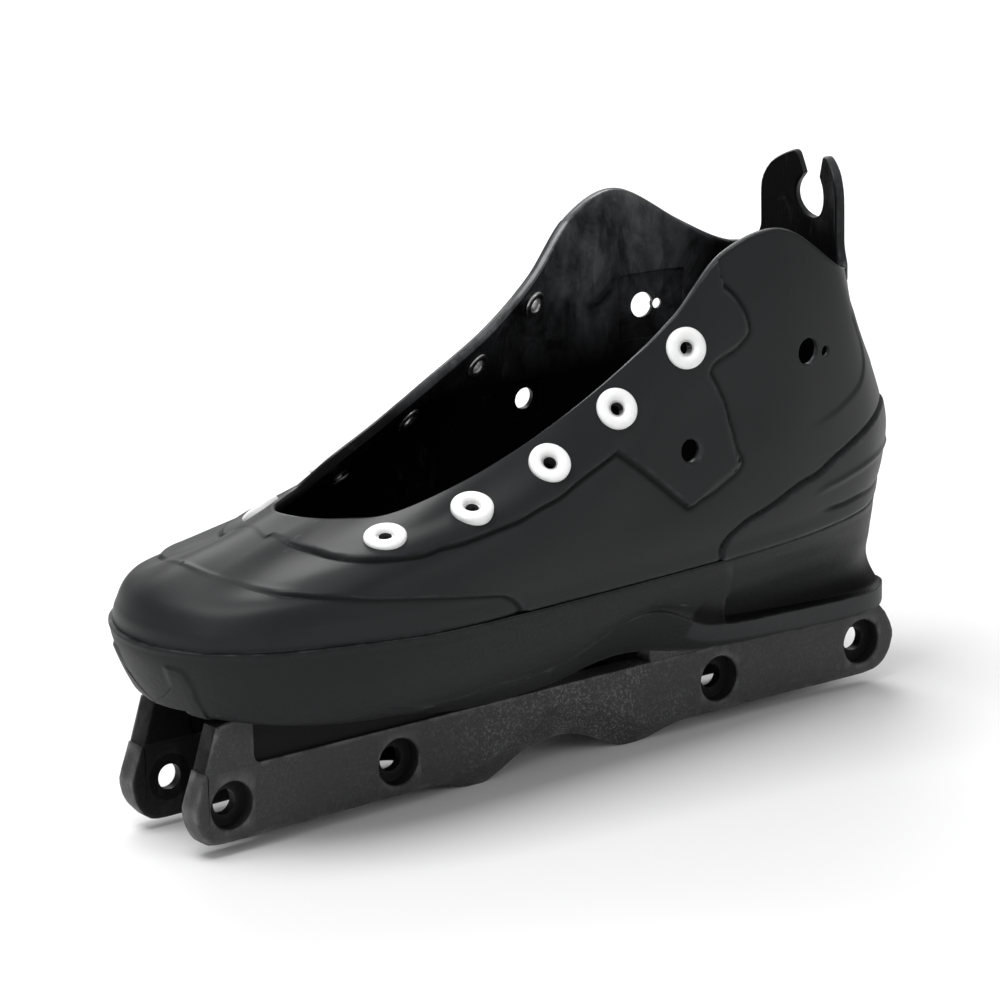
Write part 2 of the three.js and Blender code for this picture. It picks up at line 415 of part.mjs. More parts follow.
// How far the curved skin stands above (outside) and below (inside) the flat
// seat of an eyelet of radius r at a place on the shell.
function seat(s, t, r) {
  const { p, n } = placement(s, t);
  let over = 0, under = WALL;
  for (let a = -1; a <= 1; a += 0.1) for (let b = -1; b <= 1; b += 0.1) {
    if (t + b < 0 || t + b > 5) continue;
    const q = loft(SHELL, s + a, t + b), m = outward(SHELL, s + a, t + b), d = q.clone().sub(p), h = d.dot(n);
    if (Math.sqrt(Math.max(0, d.lengthSq() - h * h)) < r + 0.6) over = Math.max(over, h);
    const e = q.addScaledVector(m, -WALL).sub(p), k = e.dot(n);
    if (Math.sqrt(Math.max(0, e.lengthSq() - k * k)) < r - 1.6) under = Math.max(under, -k);
  }
  return { over: over + 0.3, under: under + 0.35 };
}
// Domed nylon eyelet: a collar on the outside of the shell with a rounded mouth.
const eyelet = (z) => lathe([[3.1, z], [6.5, z], [6.45, z + 0.55], [5.7, z + 1.35], [4.3, z + 1.85], [3, z + 1.75], [2.5, z + 1.15], [3.1, z + 1]], 16);
// Tubular rivet through the wall, flared on the inside.
const rivet = (z, u) => lathe([[2.4, z + 0.7], [2.8, z + 0.7], [2.8, -u], [4.3, -u], [4.2, -u - 0.4], [3.3, -u - 0.8], [2.4, -u - 0.4]], 12);
// Countersunk frame bolt with a hexagon socket, head down.
function frameBolt() {
  let b = toSolid(lathe([[0, 0], [5.3, 0], [5.3, 0.35], [2.9, 2.8], [2.9, 13], [2.5, 13.4], [0, 13.4]], 16));
  b = b.subtract(toSolid(rod([0, 0, -1], [0, 0, 2.4], 2.3, 6)));
  return toGeometry(b);
}
// Flanged threaded insert that takes the frame bolt.
const insert = () => lathe([[3.3, 0], [4.5, 0], [4.5, 7.2], [8, 7.2], [8, 8.8], [3.3, 8.8]], 16);
// Pan-head screw through the shell floor into the sole.
function soleScrew() {
  let b = toSolid(lathe([[0, -13], [0.6, -13], [2, -11.5], [2, 0], [4.4, 0], [4.3, 1.2], [3.4, 2.3], [0, 2.6]], 12));
  b = b.subtract(toSolid(box(-2.4, 2.4, -0.5, 0.5, 1.3, 4))).subtract(toSolid(box(-0.5, 0.5, -2.4, 2.4, 1.3, 4)));
  return toGeometry(b);
}

// ---------------------------------------------------------------- assembly
const skate = new THREE.Group();
const body = new THREE.Group();
body.position.set(...SHIFT);
skate.add(body);
function add(name, geometry, material, matrix) {
  const m = new THREE.Mesh(geometry, material);
  m.name = name;
  if (matrix) matrix.decompose(m.position, m.quaternion, m.scale);
  body.add(m);
  return m;
}
add('boot_shell', bootShell(), shellFinish());
add('sole_base', soleBase(), soleFinish());
add('frame', frameBody(), frameFinish());
for (const [name, [s, t]] of Object.entries(STATIONS)) {
  if (!name.includes('eyelet')) continue;
  const { m } = placement(s, t), { over, under } = seat(s, t, 6.5);
  add(name.replace('_eyelet_', '_lace_eyelet_'), eyelet(over), nylonFinish(), m);
  add(name.replace('_eyelet_', '_eyelet_rivet_'), rivet(over, under), steelFinish(), m);
}
['front', 'rear'].forEach((where, k) => {
  add(`${where}_frame_bolt`, frameBolt(), boltFinish(), new THREE.Matrix4().makeTranslation(BRIDGE_X[k], 0, 20.6));
  add(`${where}_threaded_insert`, insert(), steelFinish(), new THREE.Matrix4().makeTranslation(BRIDGE_X[k], 0, 27.6));
});
SCREWS.forEach(([x, y], k) => {
  const P = [];
  for (let s = 0; s <= HEEL; s += 0.1) P.push(loft(SHELL, s, 0));
  const q = P.reduce((a, b) => Math.abs(b.x - x) < Math.abs(a.x - x) ? b : a);
  add(`sole_screw_${k + 1}`, soleScrew(), boltFinish(), new THREE.Matrix4().makeTranslation(x, y, q.z + FLOOR + 0.5));
});
skate.updateMatrixWorld(true);

export default skate;
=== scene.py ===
import math

import bmesh
import bpy
import numpy as np
from mathutils import Matrix, Vector
from mathutils.kdtree import KDTree
from mathutils.geometry import delaunay_2d_cdt


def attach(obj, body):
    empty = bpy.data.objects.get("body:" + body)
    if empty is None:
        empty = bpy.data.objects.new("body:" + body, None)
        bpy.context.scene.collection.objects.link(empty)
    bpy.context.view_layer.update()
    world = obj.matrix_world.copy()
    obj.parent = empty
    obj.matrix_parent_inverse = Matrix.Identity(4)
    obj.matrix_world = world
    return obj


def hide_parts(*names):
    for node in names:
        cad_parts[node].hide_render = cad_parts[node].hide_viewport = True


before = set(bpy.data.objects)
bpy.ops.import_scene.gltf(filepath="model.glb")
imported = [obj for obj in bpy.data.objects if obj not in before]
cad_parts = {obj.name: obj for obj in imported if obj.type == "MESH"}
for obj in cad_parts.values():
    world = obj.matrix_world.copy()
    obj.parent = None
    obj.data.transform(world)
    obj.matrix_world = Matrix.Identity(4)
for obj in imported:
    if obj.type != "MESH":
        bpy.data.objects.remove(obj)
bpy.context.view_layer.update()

# Everything below is written in millimetres with x = 0 midway between the outer
# axles and z = 0 at the axle centres; MOVE brings it into the row frame.
MOVE = np.array([1.025, 0.0, 15.5])
WALL = 3.0
FLOOR = 3.0
AXLES_X = (-125.0, -63.8, 63.8, 125.0)
BRIDGE_X = (-94.4, 94.4)

# Sections of the shell and the sole, toe to heel, [x, half width, z].
SHELL_SECTIONS = [
    [(-143.7, 0, 51), (-143.4, 0, 56.5), (-139, 0, 64), (-127, 0, 70.3), (-109, 0, 75.2), (-91, 0, 80)],
    [(-141.2, 14, 51), (-140.8, 14, 56.6), (-136.5, 13.3, 63.5), (-125, 12.2, 69), (-107, 11, 74.3), (-86.5, 9, 79.4)],
    [(-133.6, 27, 51), (-133.2, 27.2, 56.8), (-129, 26, 63), (-118.5, 23, 67.6), (-100, 19, 73.2), (-79, 15.5, 79)],
    [(-118.5, 38, 51), (-118, 38.4, 57.3), (-114.5, 37, 64.3), (-104, 33.7, 70), (-86, 28.5, 74.8), (-67, 22.8, 79.6)],
    [(-95, 45.2, 50.5), (-95, 46.2, 58.5), (-91.5, 44.6, 66.8), (-82, 40, 73), (-68, 34.2, 77.9), (-51, 28, 84.6)],
    [(-68, 47.5, 49), (-67, 48.7, 59), (-62, 47, 69), (-54, 42.5, 77), (-43, 35.5, 83.3), (-32, 30.7, 91.6)],
    [(-40, 46.5, 48), (-38, 48.3, 59), (-34, 47.5, 70), (-28, 44.5, 81), (-19, 38, 90.5), (-10, 32, 101)],
    [(-10, 45, 47.7), (-9, 46.8, 59), (-6, 46.5, 71.5), (-1, 44.3, 85), (5, 38.8, 98.5), (12, 33, 112.5)],
    [(22, 43.5, 47.7), (22.5, 45.3, 60), (24, 44, 75), (26.5, 42.3, 91.5), (29.5, 40.5, 109.5), (32, 35.8, 126.8)],
    [(55, 41.5, 47.8), (55, 43.5, 61), (54.5, 43.5, 79), (53.5, 42, 101), (52, 41.5, 124), (50, 39, 145)],
    [(88, 37.5, 48.2), (87, 40, 62), (85, 41.5, 81), (82, 42.3, 104), (77, 43, 130), (72, 42, 150.2)],
    [(116.5, 29.5, 49), (117, 32.5, 63), (115, 34.5, 80), (109, 36.5, 100), (102.5, 38.3, 119), (96.5, 39, 135.2)],
    [(134.5, 15.5, 49.4), (136.5, 17.5, 61.5), (134.8, 20.5, 76), (125.8, 24.3, 95), (115.6, 27, 113), (108.6, 30, 130.6)],
    [(138.5, 7.5, 49.4), (141, 9, 61), (140.2, 10.8, 74), (130.8, 14, 93), (121.3, 17, 111), (117.4, 19.9, 129)],
    [(139.5, 0, 49.4), (142.3, 0, 60.8), (142.2, 0, 73), (133.8, 0, 92), (125.8, 0, 110), (124, 0, 129)],
]
SHELL_INNER_SIDE = {
    1: [(-141.5, 13.5, 51), (-140.8, 13.5, 56.5), (-136, 13, 63.2), (-124.5, 12, 68.2), (-106, 10.5, 72.5), (-86.5, 9, 79.2)],
    2: [(-134.5, 26, 51), (-133.5, 26.2, 56.2), (-129, 25.3, 62.8), (-118, 22.5, 65.8), (-100, 18.7, 69), (-79.5, 14.8, 79)],
    3: [(-121, 36.5, 51), (-119.7, 36.8, 56.5), (-115, 35.3, 63), (-105, 31.5, 65.8), (-87, 26.3, 68.3), (-67.5, 22.5, 79.4)],
    4: [(-97, 43.7, 50.5), (-96.5, 44.7, 57.3), (-92.5, 43.2, 64), (-83, 38.3, 66.6), (-68, 32.3, 70.6), (-51, 28, 84.6)],
    5: [(-68, 47.5, 49), (-67, 48.7, 58.5), (-62, 46.6, 67), (-54, 41.6, 73), (-43, 34.8, 79.6), (-32, 30.7, 92)],
    6: [(-40, 46.5, 48), (-38, 48.3, 59), (-34, 47.2, 69.5), (-28, 44.2, 79.8), (-19, 38, 90), (-10.5, 32, 102.4)],
    7: [(-10, 45, 47.7), (-9, 46.8, 59), (-6, 46.5, 71.5), (-1, 44.3, 85), (5, 39, 99.2), (12, 33, 114.2)],
    8: [(22, 43.5, 47.7), (22.5, 45.3, 60), (24, 44, 75), (26.5, 42.3, 91.7), (29.5, 40.5, 110), (32, 35.8, 127.8)],
    11: [(116.5, 29.5, 49), (117, 32.5, 63), (115, 34.5, 80), (109, 36.5, 100), (102.5, 38.3, 119.5), (95.5, 39.3, 137.6)],
    12: [(134.5, 15.5, 49.4), (136.5, 17.5, 61.5), (134.8, 20.5, 76), (125.8, 24.3, 95), (115.6, 27, 113), (107.8, 30.4, 130.5)],
}
SOLE_SECTIONS = [
    [(-145, 0, 50.6), (-144.6, 0, 46.5), (-142, 0, 40), (-139.5, 0, 34), (-137, 0, 29.5), (-133, 0, 27.3)],
    [(-142.5, 14, 50.6), (-142, 14, 46.5), (-139.8, 13.3, 40), (-137.2, 12.6, 34), (-134.5, 12, 29.3), (-130.5, 10.5, 26.8)],
    [(-134.7, 27.6, 50.6), (-134.2, 27.3, 46.5), (-132.3, 26, 39.5), (-130.3, 24, 33), (-128, 22, 28), (-124.5, 18, 25.8)],
    [(-119.5, 39, 50.5), (-119.2, 38.7, 46), (-118, 37.3, 38.5), (-117.3, 34.5, 31), (-117, 31.5, 26.3), (-115, 21.3, 24.3)],
    [(-95, 46.2, 50.1), (-95, 46, 45.5), (-95, 44.3, 36.5), (-95, 40, 28), (-95, 33.5, 22.5), (-95, 21.3, 20)],
    [(-68, 48.3, 48.6), (-68, 48, 44), (-68, 45.3, 34.5), (-68, 40, 26), (-68, 32.5, 20), (-68, 21.3, 15.5)],
    [(-40, 47, 47.6), (-40, 46.6, 43.5), (-40, 43.8, 34.5), (-40, 38, 26.5), (-40, 31, 20), (-40, 21.3, 12.1)],
    [(-10, 45.3, 47.3), (-10, 44.8, 43.5), (-10, 41.8, 35.5), (-10, 36.5, 28), (-10, 30, 21.5), (-10, 21.3, 12.4)],
    [(22, 43.8, 47.3), (22, 43, 43.5), (22, 40, 38.5), (22, 37.5, 35.8), (22, 35.5, 33.5), (22, 21.5, 17)],
    [(55, 41.8, 47.4), (55, 40.5, 43), (55, 36, 36), (55, 31.5, 29), (55, 27.5, 21), (55, 22.5, 12.4)],
    [(88, 37.8, 47.8), (88, 36, 43), (88, 31, 36), (88, 27.5, 28), (88, 27, 18.8), (88, 26, 12)],
    [(116.8, 29.8, 48.6), (117, 28.5, 43.5), (117.5, 26, 36), (118, 24.8, 28), (121, 27, 18.5), (121, 26.8, 12)],
    [(134.8, 15.8, 49), (134.5, 15.5, 43.5), (133.3, 15.3, 36), (133, 15.3, 28), (136.5, 18, 18), (136.5, 18, 12)],
    [(138.8, 7.7, 49), (138, 7.5, 43.5), (136.5, 7.3, 36), (136, 7.3, 28), (139.8, 9, 18), (139.8, 9, 12)],
    [(139.8, 0, 49), (139, 0, 43.5), (137.5, 0, 36), (137, 0, 28), (140.6, 0, 18), (140.6, 0, 12)],
]

# Places on the shell, as (section, height).
STATIONS = {
    "outer_eyelet_1": (8.1804, 4.3078),
    "outer_eyelet_2": (7.079, 4.2092),
    "outer_eyelet_3": (6.055, 3.8945),
    "outer_eyelet_4": (5.0021, 3.5783),
    "outer_eyelet_5": (3.6903, 3.8704),
    "outer_cuff_bolt": (10.0621, 3.2085),
    "outer_cuff_stop": (10.3507, 3.1926),
    "outer_strap_bolt": (8.2981, 2.5373),
    "inner_eyelet_1": (19.8522, 4.3673),
    "inner_eyelet_2": (20.8385, 4.1445),
    "inner_eyelet_3": (21.98, 4.05),
    "inner_eyelet_4": (22.93, 3.62),
    "inner_eyelet_5": (24.55, 4.12),
    "inner_cuff_bolt": (17.9521, 3.2253),
    "inner_cuff_stop": (17.7341, 3.2424),
    "inner_strap_bolt": (19.7194, 2.5718),
}

# Moulded lines of the shell and the sole, as (section, height) along each line.
PANEL_EDGE = [(-0.778, 4.281), (-0.07, 4.424), (0.748, 4.408), (1.597, 4.284), (2.29, 4.074), (2.866, 3.743), (3.391, 3.408), (3.975, 2.959), (4.537, 2.595), (4.771, 2.609), (5.025, 2.558), (5.282, 2.581), (5.543, 2.632), (5.813, 2.673), (6.073, 2.805), (6.343, 2.899), (6.605, 3.119), (6.89, 3.25), (7.14, 3.333), (7.533, 2.743), (7.865, 2.21), (8.148, 1.717), (8.278, 1.514), (8.408, 1.582), (8.672, 1.744), (8.961, 1.949), (8.906, 2.21), (8.859, 2.528), (8.801, 2.921), (8.694, 3.269), (8.584, 3.558), (8.667, 3.623), (8.99, 3.602), (9.178, 3.678), (9.216, 3.766), (9.193, 3.958), (9.139, 4.134), (9.059, 4.333), (8.93, 4.558)]
CAP_EDGE = [(-0.9, 2.98), (-0.396, 3.055), (0.633, 3.071), (1.235, 3.077), (1.786, 3.053), (2.297, 2.859), (2.743, 2.555), (3.106, 2.32), (3.705, 1.826), (4.217, 1.416), (4.973, 1.006), (5.51, 0.751), (5.788, 0.634), (5.905, 0.544), (6.034, 0.361), (6.109, 0.177), (6.169, 0.002), (6.224, 0)]
SWOOSH = [(8.742, -0.05), (8.734, 0.296), (8.797, 0.532), (8.882, 0.666), (9.075, 0.875), (9.347, 1.001), (9.777, 1.259), (10.089, 1.348), (10.41, 1.56), (11.513, 2.177), (12.3, 2.42), (13.1, 2.58), (14, 2.62), (14.6, 2.62)]
RIDGE_LIGHT = [(10.017, 0.784), (10.091, 0.97), (10.583, 1.067), (11.2, 1.2), (12.2, 1.36), (13.2, 1.45), (14.2, 1.48)]
RIDGE_DARK = [(10.03, 0.522), (10.456, 0.427), (10.866, 0.429), (11.338, 0.4), (12.3, 0.45), (13.3, 0.5), (14.2, 0.52)]
REAR_LINE = [(11.131, 3.981), (11.183, 3.732), (11.25, 3.42), (11.22, 3.1), (11.07, 2.82), (10.86, 2.6), (10.6, 2.42), (10.4, 2.3), (10.121, 2.198), (9.9, 2.202)]
S_LOWLIP = [(4.37, 2.792), (5.03, 3.472), (5.353, 3.658), (5.673, 3.817), (6.198, 3.667), (6.644, 3.853), (6.954, 3.941)]
S_HULL = [(0.805, 1.24), (1.289, 1.311), (1.45, 1.848), (1.533, 2.945), (1.564, 3.467)]
S_PANEL = [(7.057, 4.912), (7.091, 4.235), (7.478, 4.004)]

# Rail cross-sections: x, underside z, lower edge of the outer face z, top z.
RAIL = [
  [-138.2, -1.6, -1.3, 0.6], [-137.4, -5.2, -4.7, 3.2], [-136, -8.2, -7.4, 6.9], [-134.3, -10.4, -9.4, 11.5],
  [-131.5, -12.2, -10.8, 11.5], [-127, -12.8, -11.2, 11.5], [-100, -12.5, -10.9, 11.5], [-70, -12.3, -10.6, 11.5],
  [-50, -12.3, -10.2, 11.5], [-43, -13.2, -9.6, 11.5], [-37, -15, -9, 11.5], [-33, -15.5, -8.6, 11.5],
  [-28.5, -15.5, -7.2, 11.5], [-24, -13.8, -4.2, 11.5], [-19, -11.2, -0.4, 11.5], [-13, -8.6, 2.4, 11.5],
  [-7, -7.1, 4, 11.5], [-1, -6.4, 4.6, 11.5], [5, -6.8, 4.2, 11.5], [10, -8.2, 3, 11.5], [16, -10.8, 0.9, 11.5],
  [22, -13.6, -2.6, 11.5], [26, -15.1, -5.3, 11.5], [28.5, -15.5, -6.9, 11.5], [32.5, -15.5, -8.6, 11.5],
  [38, -14.8, -9.3, 11.5], [45, -13.2, -9.7, 11.5], [52, -12.3, -10, 11.5], [90, -12.3, -10.6, 11.5],
  [125, -12.3, -11, 11.5], [130.5, -11.7, -10.5, 11.5], [133, -10.6, -9.6, 11.2], [135.5, -8.4, -7.7, 8.4],
  [137.6, -5, -4.6, 4.7], [138.8, -1, -0.8, 1.4],
]


# ------------------------------------------------------------------ surfaces
def loop(near, far):
    cols = [[(x, -w, z) for x, w, z in c] for c in near]
    for i in range(len(near) - 2, 0, -1):
        cols.append([(x, w, z) for x, w, z in far.get(i, near[i])])
    return np.array(cols, float)


def cr(p0, p1, p2, p3, f):
    return 0.5 * (2 * p1 + (p2 - p0) * f + (2 * p0 - 5 * p1 + 4 * p2 - p3) * f * f + (3 * p1 - p0 - 3 * p2 + p3) * f ** 3)


def smooth(a, b, x):
    t = np.clip((np.asarray(x, float) - a) / (b - a), 0, 1)
    return t * t * (3 - 2 * t)


SHELL = loop(SHELL_SECTIONS, SHELL_INNER_SIDE)
SOLE = loop(SOLE_SECTIONS, {})
NCOL = len(SHELL)                # 28 columns: 0 toe centre, 14 heel centre


def ev(T, s, t, crease=None):
    """Points of the lofted surface T; crease(s) from 0 to 1 folds it along level 4."""
    s = np.asarray(s, float).ravel()
    t = np.asarray(t, float).ravel()
    n, m, _ = T.shape
    i = np.floor(s).astype(int)
    f = (s - i)[:, None, None]
    c = cr(T[(i - 1) % n], T[i % n], T[(i + 1) % n], T[(i + 2) % n], f)
    c = np.concatenate([2 * c[:, :1] - c[:, 1:2], c, 2 * c[:, -1:] - c[:, -2:-1]], 1)
    j = np.clip(np.floor(t).astype(int), 0, m - 2)
    g = (t - j)[:, None]
    k = np.arange(len(s))
    p = cr(c[k, j], c[k, j + 1], c[k, j + 2], c[k, j + 3], g)
    if crease is not None:
        w = crease(s)[:, None]
        folded = p.copy()
        a = (j == 3)
        folded[a] = cr(c[k[a], 3], c[k[a], 4], c[k[a], 5], 2 * c[k[a], 5] - c[k[a], 4], g[a])
        b = (j == 4)
        folded[b] = c[k[b], 5] + (c[k[b], 6] - c[k[b], 5]) * g[b]
        p = p + (folded - p) * w
    return p


def normals(T, s, t, flip=1.0, crease=None):
    h = 0.012
    m = T.shape[1] - 1
    a = ev(T, s + h, t, crease) - ev(T, s - h, t, crease)
    b = ev(T, s, np.minimum(t + h, m), crease) - ev(T, s, np.maximum(t - h, 0), crease)
    v = np.cross(a, b) * flip
    return v / np.maximum(np.linalg.norm(v, axis=1), 1e-12)[:, None]


def densify(points, step=0.05):
    """Catmull-Rom through (s, t) points."""
    p = np.array(points, float)
    p = np.concatenate([2 * p[:1] - p[1:2], p, 2 * p[-1:] - p[-2:-1]])
    out = []
    for k in range(1, len(p) - 2):
        n = max(2, int(np.linalg.norm(p[k + 1] - p[k]) / step))
        for q in range(n):
            out.append(cr(p[k - 1], p[k], p[k + 1], p[k + 2], q / n))
    out.append(p[-2])
    return np.array(out)


def line_distance(T, pts, S, H, P, reach=12.0, sharp=False):
    """Distance in mm of each surface point to a moulded line, on which side of it
    (+1 left of its direction in the s, t plane), and how far along it (0 to 1)."""
    q = np.array(pts, float) if sharp else densify(pts)
    if sharp:
        q = np.concatenate([q[k] + (q[k + 1] - q[k]) * np.linspace(0, 1, 9)[:-1, None] for k in range(len(q) - 1)] + [q[-1:]])
    Q = ev(T, q[:, 0], q[:, 1])
    d = np.full(len(P), 1e3)
    side = np.ones(len(P))
    along = np.zeros(len(P))
    lo, hi = Q.min(0) - reach, Q.max(0) + reach
    near = np.where(((P > lo) & (P < hi)).all(1))[0]
    seg = Q[1:] - Q[:-1]
    ll = np.maximum((seg ** 2).sum(1), 1e-9)
    cum = np.concatenate([[0], np.cumsum(np.sqrt(ll))])
    for k0 in range(0, len(near), 20000):
        ix = near[k0:k0 + 20000]
        v = P[ix][:, None, :] - Q[None, :-1, :]
        u = np.clip((v * seg[None]).sum(2) / ll[None], 0, 1)
        e = np.linalg.norm(v - u[..., None] * seg[None], axis=2)
        j = e.argmin(1)
        r = np.arange(len(ix))
        d[ix] = e[r, j]
        a, b = q[j], q[j + 1]
        side[ix] = np.sign((b[:, 0] - a[:, 0]) * (H[ix] - a[:, 1]) - (b[:, 1] - a[:, 1]) * (S[ix] - a[:, 0]))
        along[ix] = (cum[j] + u[r, j] * np.sqrt(ll[j])) / cum[-1]
    return d, side, along


def inside(poly, S, H):
    """Point in polygon in the (s, t) plane."""
    p = np.array(poly, float)
    r = np.zeros(len(S), bool)
    j = len(p) - 1
    for i in range(len(p)):
        (xi, yi), (xj, yj) = p[i], p[j]
        if yi != yj:
            r ^= ((yi > H) != (yj > H)) & (S < (xj - xi) * (H - yi) / (yj - yi) + xi)
        j = i
    return r


def both_sides(S):
    """The near side's own coordinate for points of either side: far points are mirrored."""
    s = np.mod(S + 4.0, NCOL) - 4.0
    return s, np.mod(NCOL - S + 4.0, NCOL) - 4.0


def shell_detail(S, H, P):
    """Height of the moulded detail over the smooth loft, in mm."""
    d = np.zeros(len(S))
    Pm = P * np.array([1, -1, 1])
    panel = np.zeros(len(S))
    g = np.zeros(len(S))
    for side_no, s in enumerate(both_sides(S)):
        Q = P if side_no == 0 else None
        # distances are measured on the near side's loft for both sides
        if side_no == 1:
            Q = ev(SHELL, s, H)
        # raised lace panel with its diamond
        edge = PANEL_EDGE
        poly = list(map(tuple, densify(edge[:19]))) + edge[19:] + [(8.86, 5.3), (-1.2, 5.3)]
        e1, _, a1 = line_distance(SHELL, edge[:19], s, H, Q)
        e2, _, a2 = line_distance(SHELL, edge[18:], s, H, Q, sharp=False)
        e = np.minimum(e1, e2)
        crest = smooth(0.9, 2.6, s) + smooth(13.0, 14.0, s)
        width = np.where(e2 < e1, 0.75 + 1.6 * smooth(0.30, 0.36, a2) * smooth(0.60, 0.54, a2) + 0.75 * smooth(0.56, 0.62, a2) * smooth(1.0, 0.85, a2), 0.70)
        ins = inside(poly, s, H)
        signed = np.where(ins, e, -e)
        panel = np.maximum(panel, smooth(-1, 1, signed / width))
        line = crest * np.exp(-((signed + 0.45 * width) / 0.75) ** 2)
        d -= 0.45 * line
        g = np.maximum(g, 0.85 * line)
        # toe cap
        poly = list(map(tuple, densify(CAP_EDGE))) + [(6.3, -0.3), (-1.5, -0.3), (-1.5, 3.0)]
        e, _, a = line_distance(SHELL, CAP_EDGE, s, H, Q)
        ins = inside(poly, s, H)
        fade = smooth(1.2, 3.0, s)
        d += np.where(ins, -0.75 * np.exp(-(e / 4.5) ** 2), 0.30 * np.exp(-(e / 2.0) ** 2)) * smooth(0.0, 0.8, e) * fade
        d -= 0.50 * np.exp(-(e / 0.75) ** 2) * fade
        g = np.maximum(g, 0.8 * np.exp(-(e / 0.7) ** 2) * fade)
        top = smooth(1.9, 0.6, s) * (s >= 0)
        d += 0.28 * np.exp(-(e / 0.9) ** 2) * top
        # heel cup
        e, sd, a = line_distance(SHELL, SWOOSH, s, H, Q)
        poly = list(map(tuple, densify(SWOOSH))) + [(14.6, 2.75), (14.6, -0.3), (8.75, -0.3)]
        ins = inside(poly, s, H)
        d += np.where(ins, 0.80 * smooth(0.0, 1.5, e) - 0.1, 0.0)
        d -= 0.50 * np.exp(-(e / 0.75) ** 2)
        g = np.maximum(g, 0.75 * np.exp(-(e / 0.7) ** 2))
        e, sd, a = line_distance(SHELL, RIDGE_LIGHT, s, H, Q)
        d += 0.55 * np.exp(-(e / 1.1) ** 2) * smooth(0.0, 0.12, a)
        e, sd, a = line_distance(SHELL, RIDGE_DARK, s, H, Q)
        d -= 0.60 * np.exp(-(e / 0.8) ** 2) * smooth(0.0, 0.15, a)
        g = np.maximum(g, 0.8 * np.exp(-(e / 0.8) ** 2) * smooth(0.0, 0.15, a))
        # tendon panel
        e, sd, a = line_distance(SHELL, REAR_LINE, s, H, Q)
        fade = smooth(1.0, 0.72, a) * smooth(0.0, 0.1, a)
        d += 0.45 * smooth(-0.9, 0.9, e * sd) * fade * np.exp(-np.maximum(e - 2, 0) / 9.0) * (e < 100) - 0.12 * np.exp(-(e / 0.6) ** 2) * fade
        # seam at the sole: the lower edge turns in a little
    low = np.linalg.norm(P - ev(SHELL, S, np.zeros(len(S))), axis=1)
    shell_detail.groove = g
    over = np.minimum(np.mod(S, NCOL), NCOL - np.mod(S, NCOL))
    soft = smooth(0.2, 2.4, over)
    return d + (0.55 * panel - 0.60 * (1 - panel) * smooth(0.5, 6.0, low)) * (0.15 + 0.85 * soft)


def sole_crease(s):
    s = np.mod(s, NCOL)
    s = np.minimum(s, NCOL - s)
    return smooth(7.15, 8.1, s)


def sole_detail(S, H, P):
    d = np.zeros(len(S))
    for side_no, s in enumerate(both_sides(S)):
        Q = P if side_no == 0 else ev(SOLE, s, H, sole_crease)
        e, sd, a = line_distance(SOLE, S_LOWLIP, s, H, Q)
        fade = smooth(0, 0.25, a) * smooth(1.0, 0.9, a)
        d += (0.5 * np.exp(-((e * sd + 0.0) / 1.0) ** 2) - 0.55 * np.exp(-((e * sd - 2.2) / 1.6) ** 2)) * fade
        e, sd, a = line_distance(SOLE, S_HULL, s, H, Q)
        fade = smooth(0, 0.15, a)
        d += 0.75 * smooth(-0.7, 0.7, e * sd) * np.exp(-np.maximum(e - 3.0, 0) / 8.0) * fade * (e < 100)
        e, sd, a = line_distance(SOLE, S_PANEL, s, H, Q)
        d -= 0.3 * np.exp(-(e / 0.55) ** 2)
        # cove above the heel flange, behind the vertical crease
        crease_s = 8.742 + (9.168 - 8.742) * np.clip(H / 4.0, 0, 1)
        behind = smooth(0.0, 0.10, s - crease_s) * smooth(14.8, 14.0, s)
        heel = 1 - 0.72 * smooth(10.6, 12.6, s)
        fold = smooth(3.985, 3.86, H)
        d -= behind * heel * fold * (3.6 * np.exp(-((H - 3.55) / 0.75) ** 2) + 0.5 * smooth(0.1, 0.8, H))
        front = smooth(7.6, 8.3, s) * smooth(0.04, -0.04, s - crease_s)
        d -= front * fold * 1.2 * np.exp(-((H - 3.7) / 0.5) ** 2)
    return d


# ------------------------------------------------------------------- meshes
def to_object(name, verts, faces, smooth_angle=math.radians(32), merge=1e-6):
    me = bpy.data.meshes.new(name)
    v = (np.asarray(verts, float) + MOVE) / 1000.0
    me.from_pydata(v.tolist(), [], [list(map(int, f)) for f in faces])
    o = bpy.data.objects.new(name, me)
    bpy.context.scene.collection.objects.link(o)
    clean(o, merge)
    finish_shading(o, smooth_angle)
    return o


def clean(o, merge=1e-6):
    bm = bmesh.new()
    bm.from_mesh(o.data)
    bmesh.ops.remove_doubles(bm, verts=bm.verts, dist=merge)
    bmesh.ops.dissolve_degenerate(bm, edges=bm.edges, dist=1e-7)
    loose = [v for v in bm.verts if not v.link_faces]
    if loose:
        bmesh.ops.delete(bm, geom=loose, context="VERTS")
    bmesh.ops.recalc_face_normals(bm, faces=bm.faces)
    bm.to_mesh(o.data)
    bm.free()


def finish_shading(o, angle=math.radians(32)):
    o.data.shade_smooth()
    o.data.set_sharp_from_angle(angle=angle)


def boolean(o, cutter, op="DIFFERENCE", keep=False):
    m = o.modifiers.new("cut", "BOOLEAN")
    m.operation = op
    m.solver = "MANIFOLD"
    m.object = cutter
    bpy.context.view_layer.update()
    dg = bpy.context.evaluated_depsgraph_get()
    me = bpy.data.meshes.new_from_object(o.evaluated_get(dg))
    before = len(o.data.polygons)
    o.modifiers.clear()
    if len(me.polygons) == 0:
        raise RuntimeError(f"boolean {op} of {o.name} with {cutter.name} came out empty ({before} faces before)")
    o.data = me
    if not keep:
        bpy.data.objects.remove(cutter)
    return o


